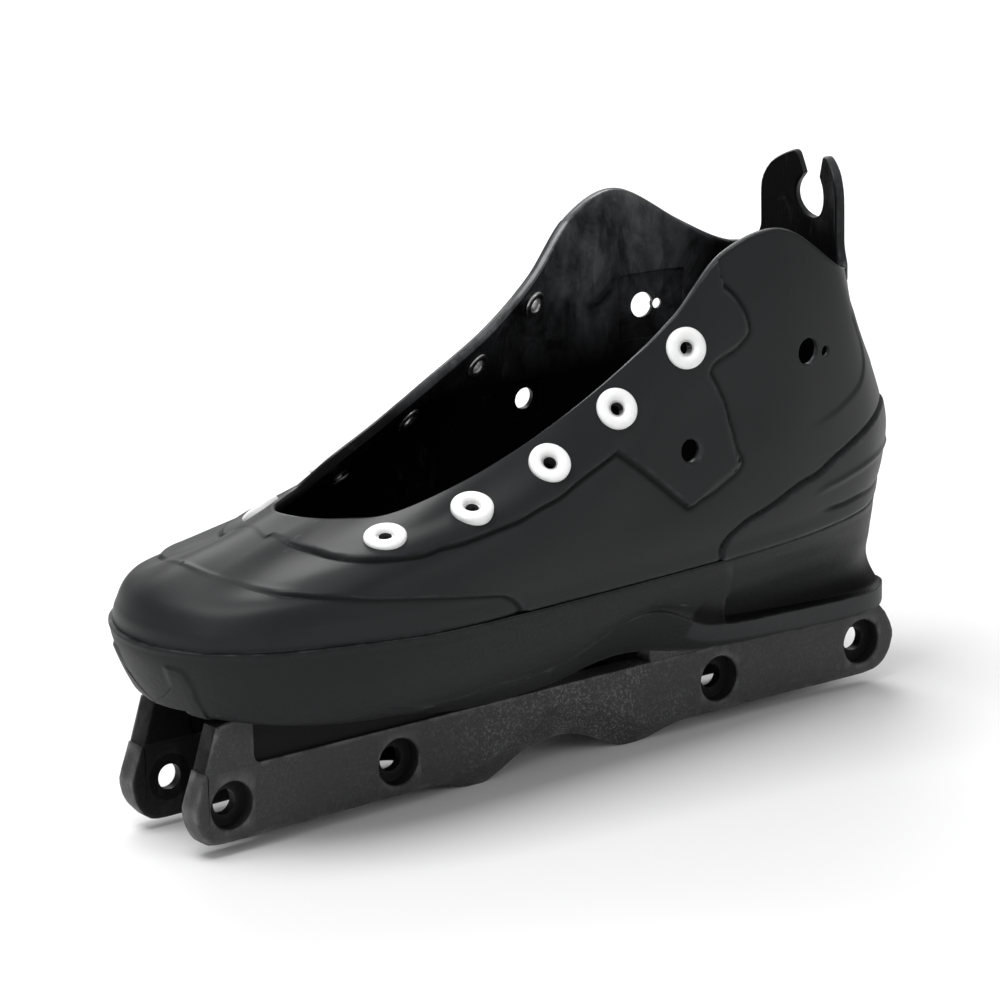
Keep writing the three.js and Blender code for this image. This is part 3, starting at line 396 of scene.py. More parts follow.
def grid_faces(nc, nr, closed=True, base=0):
    c = np.arange(nc if closed else nc - 1)
    r = np.arange(nr - 1)
    C, R = np.meshgrid(c, r, indexing="ij")
    a = base + C * nr + R
    b = base + ((C + 1) % nc) * nr + R
    return np.stack([a, b, b + 1, a + 1], -1).reshape(-1, 4)


def closed_columns(name, cols, lids=(True, True), across=10):
    """A closed body from columns of points (n columns x k points), with its first
    and last rings closed by strips that run straight across to the mirrored column."""
    n, k, _ = cols.shape
    verts = [cols.reshape(-1, 3)]
    faces = [grid_faces(n, k)]
    at = n * k
    h = n // 2
    for row, up in ((0, lids[0]), (k - 1, lids[1])):
        if not up:
            continue
        c = np.arange(0, h + 1)
        A = cols[c, row]
        B = cols[(n - c) % n, row]
        f = np.linspace(0, 1, across + 1)[1:-1]
        M = A[:, None] * (1 - f)[None, :, None] + B[:, None] * f[None, :, None]
        verts.append(M.reshape(-1, 3))
        ids = np.concatenate([(c * k + row)[:, None], at + np.arange((h + 1) * (across - 1)).reshape(h + 1, -1), (((n - c) % n) * k + row)[:, None]], 1)
        at += (h + 1) * (across - 1)
        a, b, d, e = ids[:-1, :-1], ids[1:, :-1], ids[1:, 1:], ids[:-1, 1:]
        q = np.stack([a, b, d, e], -1).reshape(-1, 4)
        faces.append(q if row else q[:, ::-1])
    return to_object(name, np.concatenate(verts), np.concatenate(faces))


def lathe(profile, seg=48):
    """Vertices and faces of a closed ring turned about Z; profile is [r, z]."""
    p = np.array(profile, float)
    a = np.arange(seg) * 2 * math.pi / seg
    v = np.stack([np.outer(np.cos(a), p[:, 0]), np.outer(np.sin(a), p[:, 0]), np.tile(p[:, 1], (seg, 1))], -1)
    k = len(p)
    c = np.arange(seg)
    r = np.arange(k)
    C, R = np.meshgrid(c, r, indexing="ij")
    f = np.stack([C * k + R, ((C + 1) % seg) * k + R, ((C + 1) % seg) * k + (R + 1) % k, C * k + (R + 1) % k], -1).reshape(-1, 4)
    return v.reshape(-1, 3), f


def plug(r, z0, z1, flare_out=0.0, seg=40):
    """A solid cutter rod about Z from z0 to z1, with a small flare at z = 0."""
    prof = [[1e-4, z0], [r, z0], [r, -flare_out]]
    if flare_out:
        prof += [[r + flare_out + z1, z1]]
    else:
        prof += [[r, z1]]
    prof += [[1e-4, z1]]
    return lathe(prof, seg)


def placed(v, p, x, y, n):
    return p + v[:, :1] * x + v[:, 1:2] * y + v[:, 2:] * n


def station(s, t):
    p = ev(SHELL, [s], [t])[0]
    n = normals(SHELL, np.array([s]), np.array([t]))[0]
    x = np.array([1.0, 0, 0]) - n * n[0]
    x /= np.linalg.norm(x)
    return p, x, np.cross(n, x), n


def merged(parts):
    V, F, at = [], [], 0
    for v, f in parts:
        V.append(v)
        F += [[int(i) + at for i in face] for face in f]
        at += len(v)
    return np.concatenate(V), F


def rounded_box(cx, cy, cz, r=1.2, seg=5):
    """Box with rounded upright edges, centred on the origin; sizes are full."""
    out = []
    for qx, qy, a0 in ((1, 1, 0), (-1, 1, 90), (-1, -1, 180), (1, -1, 270)):
        for k in range(seg + 1):
            a = math.radians(a0 + 90 * k / seg)
            out.append((qx * (cx / 2 - r) + r * math.cos(a), qy * (cy / 2 - r) + r * math.sin(a)))
    o = np.array(out)
    n = len(o)
    v = np.concatenate([np.c_[o, np.full(n, -cz / 2)], np.c_[o, np.full(n, cz / 2)]])
    f = [[i, (i + 1) % n, n + (i + 1) % n, n + i] for i in range(n)] + [list(range(n))[::-1], list(range(n, 2 * n))]
    return v, f


def inset(poly, d):
    """Polygon moved inwards by d (anticlockwise outline)."""
    p = np.asarray(poly, float)
    a = p - np.roll(p, 1, 0)
    b = np.roll(p, -1, 0) - p
    a /= np.maximum(np.linalg.norm(a, axis=1), 1e-9)[:, None]
    b /= np.maximum(np.linalg.norm(b, axis=1), 1e-9)[:, None]
    na, nb = np.c_[-a[:, 1], a[:, 0]], np.c_[-b[:, 1], b[:, 0]]
    m = na + nb
    m /= np.maximum((m * na).sum(1), 0.35)[:, None]
    return p + m * d


def area(poly):
    p = np.asarray(poly, float)
    q = np.roll(p, -1, 0)
    return 0.5 * (p[:, 0] * q[:, 1] - q[:, 0] * p[:, 1]).sum()


def plate(name, outline, y0, y1, r=0.6, steps=3):
    """A flat plate in the XZ plane between y0 and y1 with rounded edges."""
    o = np.array(outline, float)
    if area(o) < 0:
        o = o[::-1]
    rings = [(inset(o, r + 0.9), y0)]
    for k in range(steps + 1):
        a = math.pi / 2 * k / steps
        rings.append((inset(o, r * (1 - math.sin(a))), y0 + r * (1 - math.cos(a))))
    for k in range(steps, -1, -1):
        a = math.pi / 2 * k / steps
        rings.append((inset(o, r * (1 - math.sin(a))), y1 - r * (1 - math.cos(a))))
    rings.append((inset(o, r + 0.9), y1))
    n = len(o)
    v = np.concatenate([np.c_[q[:, 0], np.full(n, y), q[:, 1]] for q, y in rings])
    f = []
    for k in range(len(rings) - 1):
        for i in range(n):
            f.append([k * n + i, k * n + (i + 1) % n, (k + 1) * n + (i + 1) % n, (k + 1) * n + i])
    f.append(list(range(n))[::-1])
    f.append([(len(rings) - 1) * n + i for i in range(n)])
    return to_object(name, v, f)


def arc_points(cx, cz, r, a0, a1, n):
    return [(cx + r * math.cos(math.radians(a0 + (a1 - a0) * k / n)), cz + r * math.sin(math.radians(a0 + (a1 - a0) * k / n))) for k in range(n + 1)]


# ---------------------------------------------------------------- boot shell
NS = 1008
NT = 150
NI = 44


def build_shell():
    s = np.arange(NS) * NCOL / NS
    rim = 0.08 + 0.82 * (1 - smooth(11.9, 12.5, s) * smooth(16.1, 15.5, s))
    dt = np.linalg.norm(ev(SHELL, s, np.full(NS, 5.0)) - ev(SHELL, s, np.full(NS, 4.9)), axis=1) / 0.1
    t_end = 5 - rim / dt
    u = np.linspace(0, 1, NT)
    H = u[None, :] * t_end[:, None]
    S = np.repeat(s[:, None], NT, 1)
    P = ev(SHELL, S, H)
    n = normals(SHELL, S.ravel(), H.ravel())
    d = shell_detail(S.ravel(), H.ravel(), P)
    low = np.linalg.norm(P - np.repeat(P.reshape(NS, NT, 3)[:, :1], NT, 1).reshape(-1, 3), axis=1)
    back = np.minimum(S.ravel(), NCOL - S.ravel())
    back = smooth(4.6, 6.2, back)
    d -= 0.35 * back * np.exp(-(low / 0.45) ** 2)
    outer = (P + n * d[:, None]).reshape(NS, NT, 3)
    # round the toe the lower edge sits down on the sole without a gap
    build_shell.points = outer.reshape(-1, 3).copy()
    build_shell.groove = shell_detail.groove
    outer[:, 0, 2] -= 0.32 * (1 - back.reshape(NS, NT)[:, 0])
    p5 = ev(SHELL, s, np.full(NS, 5.0))
    n5 = normals(SHELL, s, np.full(NS, 5.0))
    up = p5 - ev(SHELL, s, np.full(NS, 4.9))
    up /= np.linalg.norm(up, axis=1)[:, None]
    mid = p5 - n5 * WALL / 2
    arc = []
    for k in range(1, 8):
        a = math.pi * k / 8
        arc.append(mid + n5 * (WALL / 2 * math.cos(a)) + up * (rim * (math.sin(a) ** 0.7 - 1))[:, None])
    arc = np.stack(arc, 1)
    # inner skin down to a fillet at the floor
    zf = ev(SHELL, s, np.zeros(NS))[:, 2] + FLOOR
    tt = np.linspace(0.15, 5, 60)
    SS, TT = np.repeat(s[:, None], 60, 1).ravel(), np.tile(tt, NS)
    Pi = (ev(SHELL, SS, TT) - normals(SHELL, SS, TT) * WALL).reshape(NS, 60, 3)
    fil = 3.5
    t0 = np.array([np.interp(zf[k] + fil, Pi[k, :, 2], tt) for k in range(NS)])
    H = t_end[:, None] + (t0 - t_end)[:, None] * np.linspace(0, 1, NI)[None, :]
    S = np.repeat(s[:, None], NI, 1)
    inner = (ev(SHELL, S, H) - normals(SHELL, S.ravel(), H.ravel()) * WALL).reshape(NS, NI, 3)
    last = inner[:, -1]
    nin = -normals(SHELL, s, t0)
    nin[:, 2] = 0
    nin /= np.maximum(np.linalg.norm(nin, axis=1), 1e-6)[:, None]
    fillet = []
    for k in range(1, 6):
        a = math.pi / 2 * k / 5
        q = last + nin * (fil * (1 - math.cos(a)))
        q[:, 2] = zf + fil - (last[:, 2] - (last[:, 2] - 0)) - fil * math.sin(a)
        fillet.append(q)
    fillet = np.stack(fillet, 1)
    cols = np.concatenate([outer, arc, inner, fillet], 1)
    return closed_columns("boot_shell_skin", cols)


TAB_TOP = [(0, 161.6), (7.5, 161.5), (12, 159.8), (15, 158), (17.8, 155), (19.2, 152), (19.8, 148)]


def build_tab():
    """Spine tab with its keyhole, as a curved plate with rounded edges."""
    sr = np.linspace(10.5, 14, 400)
    pr = ev(SHELL, sr, np.full(400, 5.0))
    wy, wx = -pr[::-1, 1], pr[::-1, 0]
    order = np.argsort(wy)
    wy, wx = wy[order], wx[order]
    zr = pr[::-1, 2][order]
    half = []
    # from the base outwards: fillet, side, rounded shoulder, top, mouth, keyhole
    half += [(28.5, 124.5), (28.5, float(np.interp(28.5, wy, zr)) - 0.4)]
    half += [(26.6, float(np.interp(26.6, wy, zr)) - 0.1)]
    r = 7.0
    for k in range(0, 9):
        a = math.radians(270 - 90 * k / 8)
        half.append((19.85 + r + r * math.cos(a), 129.6 + r + r * math.sin(a)))
    half += [(19.85, z) for z in (138, 140, 142, 144, 146)]
    top = [(19.8, 148), (19.6, 150.2), (19.0, 152.4), (18.0, 154.6), (16.7, 156.5), (15.0, 158.1), (13.0, 159.4), (11.5, 160.2), (10.0, 160.9), (8.8, 161.3), (7.9, 161.3), (7.2, 160.9), (6.7, 160.1)]
    half += top
    half += [(6.0, 158.2), (5.3, 156.3), (4.75, 154.7), (4.6, 154.0)]
    a0 = math.asin(4.6 / 7.5)
    for k in range(1, 17):
        a = a0 + (math.pi - a0) * k / 16
        half.append((7.5 * math.sin(a), 147.6 + 7.5 * math.cos(a)))
    half = half[:-1] + [(0.0, 140.1)]
    left = [(-y, z) for y, z in half[:-1]][::-1]
    outline = half + left
    o = np.array(outline)
    if area(o) < 0:
        o = o[::-1]
    dense = []
    for i in range(len(o)):
        a, b = o[i], o[(i + 1) % len(o)]
        m = max(1, int(np.linalg.norm(b - a) / 1.0))
        dense += [a + (b - a) * k / m for k in range(m)]
    o = np.array(dense)
    th = 3.3
    rr = 0.75

    def skin(yz, depth):
        y, z = yz[:, 0], yz[:, 1]
        ay = np.abs(y)
        x = np.interp(ay, wy, wx)
        e = 0.05
        slope = (np.interp(ay + e, wy, wx) - np.interp(np.maximum(ay - e, 0), wy, wx)) / (e + np.minimum(ay, e))
        slope *= np.sign(y)
        nn = np.stack([np.ones_like(y), -slope], 1)
        nn /= np.linalg.norm(nn, axis=1)[:, None]
        lean = 0.3 * (z - 129) / 32
        return np.stack([x - lean - nn[:, 0] * depth, y - nn[:, 1] * depth, z], 1)

    oi = inset(o, rr)
    gy, gz = np.meshgrid(np.arange(-28, 28.1, 1.3), np.arange(122, 163, 1.3))
    pts = np.c_[gy.ravel(), gz.ravel()]

    def pip(poly, q):
        r = np.zeros(len(q), bool)
        j = len(poly) - 1
        for i in range(len(poly)):
            xi, yi = poly[i]
            xj, yj = poly[j]
            if yi != yj:
                r ^= ((yi > q[:, 1]) != (yj > q[:, 1])) & (q[:, 0] < (xj - xi) * (q[:, 1] - yi) / (yj - yi) + xi)
            j = i
        return r
    pts = pts[pip(inset(o, rr + 0.6), pts)]
    n = len(o)
    allp = [Vector(p) for p in oi.tolist()] + [Vector(p) for p in pts.tolist()]
    res = delaunay_2d_cdt(allp, [(i, (i + 1) % n) for i in range(n)], [list(range(n))], 1, 1e-6)
    v2 = np.array([tuple(p) for p in res[0]])
    tris = [list(f) for f in res[2]]
    orig = res[3]
    where = {}
    for k, src in enumerate(orig):
        for q in src:
            if q < n:
                where[q] = k
    ring_ids = [where[i] for i in range(n)]
    m = len(v2)
    V = [skin(v2, 0.0), skin(v2, th)]
    F = [t for t in tris] + [[t[0] + m, t[2] + m, t[1] + m] for t in tris]
    rings = []
    at = 2 * m
    for k in range(1, 4):
        a = math.pi / 2 * k / 3
        rings.append((inset(o, rr * (1 - math.sin(a))), rr * (1 - math.cos(a))))
    for k in range(3, 0, -1):
        a = math.pi / 2 * k / 3
        rings.append((inset(o, rr * (1 - math.sin(a))), th - rr * (1 - math.cos(a))))
    ids = [ring_ids]
    for q, dpt in rings:
        V.append(skin(q, dpt))
        ids.append(list(range(at, at + n)))
        at += n
    ids.append([i + m for i in ring_ids])
    for a, b in zip(ids[:-1], ids[1:]):
        for i in range(n):
            j = (i + 1) % n
            F.append([a[i], a[j], b[j], b[i]])
    return to_object("tab", np.concatenate(V), F)


shell = build_shell()
boolean(shell, build_tab(), "UNION")

rods, boxes = [], []
for name, (s, t) in STATIONS.items():
    p, x, y, n = station(s, t)
    if "eyelet" in name:
        v, f = plug(3.1, -8, 4, 0.0, 32)
    elif "cuff_bolt" in name:
        v, f = plug(4.2, -8, 4, 0.35, 48)
    elif "cuff_stop" in name:
        v, f = plug(1.7, -8, 4, 0.25, 32)
    else:
        v, f = plug(3.6, -8, 4, 0.35, 48)
    if "eyelet" not in name:
        # the flare starts at the moulded surface, not at the smooth loft
        v = v + np.array([0, 0, -0.7 if "cuff" in name else 0.0])
    rods.append((placed(v, p, x, y, n), f))
    if name.endswith("strap_bolt"):
        v, f = rounded_box(12.0, 13.4, 4.0, 0.9)
        boxes.append((placed(v + np.array([0, 0, -WALL - 1.0]), p, x, y, n), f))
    if name.endswith("cuff_bolt"):
        v, f = rounded_box(26.0, 22.0, 4.0, 1.6)
        boxes.append((placed(v + np.array([3.0, 0, -WALL - 1.1]), p, x, y, n), f))
boolean(shell, to_object("rods", *merged(rods)))
boolean(shell, to_object("boxes", *merged(boxes)))
holes = []
for x, y in ((-118, 0), (17, -22), (17, 22), (126, 0)):
    v, f = plug(2.3, -12, 12, 0.0, 24)
    holes.append((v + np.array([x, y, 50.0]), f))
boolean(shell, to_object("screw_holes", *merged(holes)))
clean(shell, 2e-6)
finish_shading(shell, math.radians(34))
shell.name = "boot_shell_skin"


# ------------------------------------------------------------------ sole base
def build_sole():
    n = NS
    s = np.arange(n) * NCOL / n
    rows = 110
    h = np.linspace(0.0, 5.0, rows)
    h = np.unique(np.concatenate([h, [3.9, 3.94, 3.97, 3.99, 4.0, 4.015, 4.04, 4.08]]))
    k = len(h)
    S = np.repeat(s[:, None], k, 1)
    H = np.tile(h, (n, 1))
    P = ev(SOLE, S, H, sole_crease)
    nr = normals(SOLE, S.ravel(), H.ravel(), -1.0, sole_crease)
    top = np.repeat(P.reshape(n, k, 3)[:, :1], k, 1).reshape(-1, 3)
    low = np.linalg.norm(P - top, axis=1)
    back = np.minimum(S.ravel(), NCOL - S.ravel())
    back = smooth(4.6, 6.2, back)
    d = sole_detail(S.ravel(), H.ravel(), P) - 0.45 * back * np.exp(-(low / 0.4) ** 2) + 0.30 * (1 - back) * np.exp(-((low - 0.9) / 0.9) ** 2)
    side = (P + nr * d[:, None]).reshape(n, k, 3)
    # lid that turns in under the shell
    nh = nr.reshape(n, k, 3)[:, 0].copy()
    nh[:, 2] = 0
    nh /= np.linalg.norm(nh, axis=1)[:, None]
    lid = []
    for ins, dz in ((3.0, 0.0), (1.2, 0.0)):
        q = ev(SOLE, s, np.zeros(n), sole_crease) - nh * ins
        q[:, 2] += dz
        lid.append(q)
    # underside: the last ring is closed flat
    last = side[:, -1]
    cols = np.concatenate([np.stack(lid, 1), side], 1)
    return closed_columns("sole_base_moulding", cols, across=14)


def box_cutter(x0, x1, y0, y1, z0, z1):
    v, f = rounded_box(x1 - x0, y1 - y0, z1 - z0, 0.8, 3)
    return v + np.array([(x0 + x1) / 2, (y0 + y1) / 2, (z0 + z1) / 2]), f


def y_rod(x, z, r, y0, y1, seg=96, chamfer=0.0):
    prof = [[1e-4, y0], [r, y0], [r, y1 - chamfer], [r + chamfer * 1.0, y1], [1e-4, y1]] if chamfer else [[1e-4, y0], [r, y0], [r, y1], [1e-4, y1]]
    v, f = lathe(prof, seg)
    return np.c_[v[:, 0] + x, v[:, 2], -v[:, 1] + z], f


sole = build_sole()
boolean(sole, to_object("wells", *merged([y_rod(x, 0, 31.5, -12.9, 12.9) for x in (AXLES_X[0], AXLES_X[2])])))
boolean(sole, to_object("wells2", *merged([y_rod(x, 0, 31.5, -12.9, 12.9) for x in (AXLES_X[1], AXLES_X[3])])))
boolean(sole, to_object("channels", *merged([box_cutter(x - 18.5, x + 18.5, -17.5, 17.5, 0, 27.1) for x in BRIDGE_X])))
ins = []
for x in BRIDGE_X:
    v, f = plug(4.8, -12, 12, 0.0, 32)
    ins.append((v + np.array([x, 0, 39.0]), f))
for x, y in ((-118, 0), (17, -22), (17, 22), (126, 0)):
    v, f = plug(2.3, -14, 14, 0.0, 24)
    ins.append((v + np.array([x, y, 49.0]), f))
boolean(sole, to_object("inserts", *merged(ins)))
clean(sole, 2e-6)
finish_shading(sole, math.radians(30))
sole.name = "sole_base_moulding"


# ---------------------------------------------------------------------- frame
def rail_curves(n):
    R = np.array(RAIL, float)
    keep = [0]
    x = R[:, 0]
    k = np.arange(len(R))
    p = np.concatenate([2 * R[:1] - R[1:2], R, 2 * R[-1:] - R[-2:-1]])
    out = []
    for j in range(1, len(p) - 2):
        m = max(2, int(abs(p[j + 1, 0] - p[j, 0]) / 0.7))
        for q in range(m):
            f = q / m
            a = cr(p[j - 1], p[j], p[j + 1], p[j + 2], f)
            a[0] = p[j, 0] + (p[j + 1, 0] - p[j, 0]) * f
            a[3] = p[j, 3] + (p[j + 1, 3] - p[j, 3]) * f
            out.append(a)
    out.append(p[-2])
    return np.array(out)


def build_rail(side):
    R = rail_curves(0)
    x = R[:, 0]

    def outline(w, d):
        zb = R[:, 1] + (R[:, 2] - R[:, 1]) * w
        bottom = np.c_[x, zb]
        top = np.c_[x, np.maximum(R[:, 3], zb + 0.5)][::-1]
        return inset(np.concatenate([bottom, top]), d)
    rings = [(13.2, 0, 1.4), (13.2, 0, 0.5), (13.35, 0, 0.15), (13.7, 0, 0.0), (16.6, 0, 0.0), (16.95, 0.05, 0.0), (18.9, 0.5, 0.0), (20.45, 0.9, 0.0), (20.85, 1.0, 0.15), (21.0, 1.0, 0.55), (21.0, 1.0, 1.5)]
    n = 2 * len(R)
    v, f = [], []
    for y, w, d in rings:
        o = outline(w, d)
        v.append(np.c_[o[:, 0], np.full(n, side * y), o[:, 1]])
    for k in range(len(rings) - 1):
        for i in range(n):
            f.append([k * n + i, k * n + (i + 1) % n, (k + 1) * n + (i + 1) % n, (k + 1) * n + i])
    h = n // 2
    for k in (0, len(rings) - 1):
        for i in range(h - 1):
            f.append([k * n + i, k * n + i + 1, k * n + n - 2 - i, k * n + n - 1 - i])
    return to_object("rail", np.concatenate(v), f)


SOLE_LOW = ev(SOLE, np.linspace(0, 14, 281), np.full(281, 5.0))


def sole_low(x):
    return float(np.interp(x, SOLE_LOW[:, 0], SOLE_LOW[:, 2]))


def build_frame():
    f = build_rail(1)
    boolean(f, build_rail(-1), "UNION")
    for side in (1, -1):
        yy = lambda a, b: (a, b) if side > 0 else (-b, -a)
        post = [(-134.2, 10.2), (-133.6, 12.2), (-129.4, 25.0)] + [(x, sole_low(x) + 0.6) for x in (-124, -121, -118, -116.7)] + [(-116.7, 14.0), (-116.0, 12.2), (-114.2, 11.2), (-114.2, 8.0)]
        boolean(f, plate("post", post, *yy(13.25, 20.95), 0.55), "UNION")
        web = [(-118.0, 8.0)] + [(x, sole_low(x) + 0.6) for x in (-118, -110, -100, -90, -80, -70, -60, -52)] + [(-46, 11.3), (-44, 8.0)]
        boolean(f, plate("web", web, *yy(14.0, 19.3), 0.3), "UNION")
        step = [(35.3, 8.0), (35.3, sole_low(35.3) - 0.2)] + [(x, sole_low(x) - 0.35) for x in (40, 46, 52, 58)] + [(66, 11.3), (70, 8.0)]
        boolean(f, plate("step", step, *yy(13.25, 20.7), 0.3), "UNION")
        for x in BRIDGE_X:
            riser = [(x - 16.5, 9.5), (x + 16.5, 9.5), (x + 12, 26.7), (x - 12, 26.7)]
            boolean(f, plate("riser", riser, *yy(13.25, 17.0), 0.5), "UNION")
    R = rail_curves(0)
    a = R[(R[:, 0] >= -28.5) & (R[:, 0] <= 28.5)]
    block = [(-30.4, -15.3)] + [(q[0], q[1] + 0.05) for q in a[::2]] + [(30.4, -15.3), (30.4, 8.5), (-30.4, 8.5)]
    boolean(f, plate("block", block, -13.6, 13.6, 0.1), "UNION")
    for x in BRIDGE_X:
        bridge = [(x - 6.8, 20.5), (x + 6.8, 20.5), (x + 12, 26.6), (x - 12, 26.6)]
        boolean(f, plate("bridge", bridge, -13.8, 13.8, 0.1), "UNION")
    cut = []
    for x in BRIDGE_X:
        v, g = lathe([[1e-4, 12], [6.4, 12], [6.4, 20.2], [3.3, 24.2], [3.3, 32], [1e-4, 32]], 40)
        cut.append((v + np.array([x, 0, 0]), g))
    boolean(f, to_object("bolt_holes", *merged(cut)))
    boolean(f, to_object("axle_bores", *merged([y_rod(x, 0, 4.0, -30, 30, 64) for x in AXLES_X])))
    bores = []
    for x in AXLES_X:
        for side in (1, -1):
            v, g = lathe([[1e-4, 16.2], [6.9, 16.2], [7.35, 16.45], [7.5, 17.0], [7.5, 20.5], [8.0, 21.0], [9.0, 22.0], [1e-4, 22.0]], 72)
            v = np.c_[v[:, 0] + x, side * v[:, 2], -side * v[:, 1]]
            bores.append((v, g))
    boolean(f, to_object("counterbores", *merged(bores)))
    clean(f, 2e-6)
    finish_shading(f, math.radians(30))
    f.name = "frame_moulding"
    return f


rails = build_frame()


# ------------------------------------------------------- eyelets and rivets
def surface_height(p, x, y, n, r, lab_s, lab_t, inner=False):
    """Height of the shell skin over the tangent plane at p, on a circle of radius r."""
    ss, tt = np.meshgrid(lab_s + np.linspace(-1.3, 1.3, 53), np.clip(lab_t + np.linspace(-1.3, 1.3, 53), 0, 5))
    q = ev(SHELL, ss, tt)
    if inner:
        q = q - normals(SHELL, ss.ravel(), tt.ravel()) * WALL
    d = q - p
    h = d @ n
    a, b = d @ x, d @ y
    out = []
    for k in range(48):
        c, s_ = math.cos(2 * math.pi * k / 48), math.sin(2 * math.pi * k / 48)
        e = (a - r * c) ** 2 + (b - r * s_) ** 2
        i = np.argsort(e)[:4]
        w = 1 / (e[i] + 1e-3)
        out.append(float((h[i] * w).sum() / w.sum()))
    return np.array(out)


def eyelet(name, s, t):
    p, x, y, n = station(s, t)
    hs = surface_height(p, x, y, n, 6.4, s, t)
    hs = hs + 0.40
    lift = max(0.0, float(np.percentile(hs, 85))) * 0.85
    prof = [[3.05, 0.0], [6.25, 0.0], [6.5, 0.25], [6.52, 0.75], [6.38, 1.15], [6.05, 1.5], [5.55, 1.78], [4.95, 1.93], [4.3, 1.98], [3.7, 1.9], [3.25, 1.7], [2.88, 1.35], [2.62, 0.9], [2.5, 0.35], [2.45, -0.4], [2.45, -1.2], [3.05, -1.2]]
    v, f = lathe(prof, 48)
    v = v.reshape(48, len(prof), 3)
    v[:, 1:, 2] += lift
    v[:, 1, 2] = np.minimum(hs - 0.35, lift)
    v[:, 2, 2] = np.minimum(hs - 0.05, lift + 0.25)
    v[:, 0, 2] = np.minimum(hs.min() - 0.4, 0)
    v[:, -1, 2] = -1.2
    v = v.reshape(-1, 3)
    o = to_object(name, placed(v, p, x, y, n), f, math.radians(40))
    return o


def rivet(name, s, t):
    p, x, y, n = station(s, t)
    hs = surface_height(p, x, y, n, 4.6, s, t, inner=True)
    u = -float(hs.min()) + 0.05
    prof = [[2.05, 0.9], [2.44, 0.9], [2.44, -u + 0.3], [3.2, -u + 0.15], [4.35, -u + 0.1], [4.5, -u - 0.15], [4.35, -u - 0.5], [3.9, -u - 0.8], [3.4, -u - 0.92], [2.9, -u - 0.88], [2.5, -u - 0.65], [2.2, -u - 0.25], [2.05, -u + 0.4]]
    v, f = lathe(prof, 48)
    return to_object(name, placed(v, p, x, y, n), f, math.radians(40))


eyes, rivs = [], []
for name, (s, t) in STATIONS.items():
    if "eyelet" not in name:
        continue
    a, b = name.split("_eyelet_")
    e = eyelet(f"{a}_eyelet_collar_{b}", s, t)
    r = rivet(f"{a}_rivet_flared_{b}", s, t)
    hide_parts(f"{a}_lace_eyelet_{b}")
    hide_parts(f"{a}_eyelet_rivet_{b}")
    eyes.append(e)
    rivs.append(r)


# ------------------------------------------------------------------ materials
def material(name):
    m = bpy.data.materials.new(name)
    m.use_nodes = True
    nt = m.node_tree
    nt.nodes.clear()
    out = nt.nodes.new("ShaderNodeOutputMaterial")
    b = nt.nodes.new("ShaderNodeBsdfPrincipled")
    nt.links.new(b.outputs["BSDF"], out.inputs["Surface"])
    tc = nt.nodes.new("ShaderNodeTexCoord")
    return m, nt, b, tc.outputs["Object"]


def noise(nt, co, scale, detail=2.0, rough=0.5, distortion=0.0):
    n = nt.nodes.new("ShaderNodeTexNoise")
    n.inputs["Scale"].default_value = scale
    n.inputs["Detail"].default_value = detail
    n.inputs["Roughness"].default_value = rough
    n.inputs["Distortion"].default_value = distortion
    nt.links.new(co, n.inputs["Vector"])
    return n.outputs["Fac"]


def ramp(nt, fac, stops):
    r = nt.nodes.new("ShaderNodeValToRGB")
    e = r.color_ramp.elements
    while len(e) < len(stops):
        e.new(0.5)
    for k, (pos, col) in enumerate(stops):
        e[k].position = pos
        e[k].color = (*col, 1) if len(col) == 3 else (col[0],) * 3 + (1,)
    nt.links.new(fac, r.inputs["Fac"])
    return r.outputs["Color"]


def math_node(nt, op, a, b=None, clamp=False):
    m = nt.nodes.new("ShaderNodeMath")
    m.operation = op
    m.use_clamp = clamp
    for k, v in enumerate((a, b)):
        if v is None:
            continue
        if isinstance(v, (int, float)):
            m.inputs[k].default_value = v
        else:
            nt.links.new(v, m.inputs[k])
    return m.outputs[0]


def mix_color(nt, fac, a, b):
    m = nt.nodes.new("ShaderNodeMix")
    m.data_type = "RGBA"
    for sock, v in ((m.inputs[0], fac), (m.inputs[6], a), (m.inputs[7], b)):
        if isinstance(v, (int, float)):
            sock.default_value = v
        elif isinstance(v, tuple):
            sock.default_value = (*v, 1)
        else:
            nt.links.new(v, sock)
    return m.outputs[2]


def bumps(nt, bsdf, layers):
    """layers: (height output, distance in metres, strength), coarse first."""
    prev = None
    for h, dist, strength in layers:
        b = nt.nodes.new("ShaderNodeBump")
        b.inputs["Distance"].default_value = dist
        b.inputs["Strength"].default_value = strength
        nt.links.new(h, b.inputs["Height"])
        if prev is not None:
            nt.links.new(prev, b.inputs["Normal"])
        prev = b.outputs["Normal"]
    nt.links.new(prev, bsdf.inputs["Normal"])


def edge_mask(nt, lo=0.505, hi=0.56):
    g = nt.nodes.new("ShaderNodeNewGeometry")
    r = nt.nodes.new("ShaderNodeMapRange")
    r.inputs["From Min"].default_value = lo
    r.inputs["From Max"].default_value = hi
    nt.links.new(g.outputs["Pointiness"], r.inputs["Value"])
    return r.outputs["Result"]


def span(nt, v, a, b):
    """0 at a, 1 at b."""
    r = nt.nodes.new("ShaderNodeMapRange")
    r.inputs["From Min"].default_value = a
    r.inputs["From Max"].default_value = b
    nt.links.new(v, r.inputs["Value"])
    return r.outputs["Result"]


def xyz(nt, co):
    p = nt.nodes.new("ShaderNodeSeparateXYZ")
    nt.links.new(co, p.inputs[0])
    return p.outputs[0], p.outputs[1], p.outputs[2]


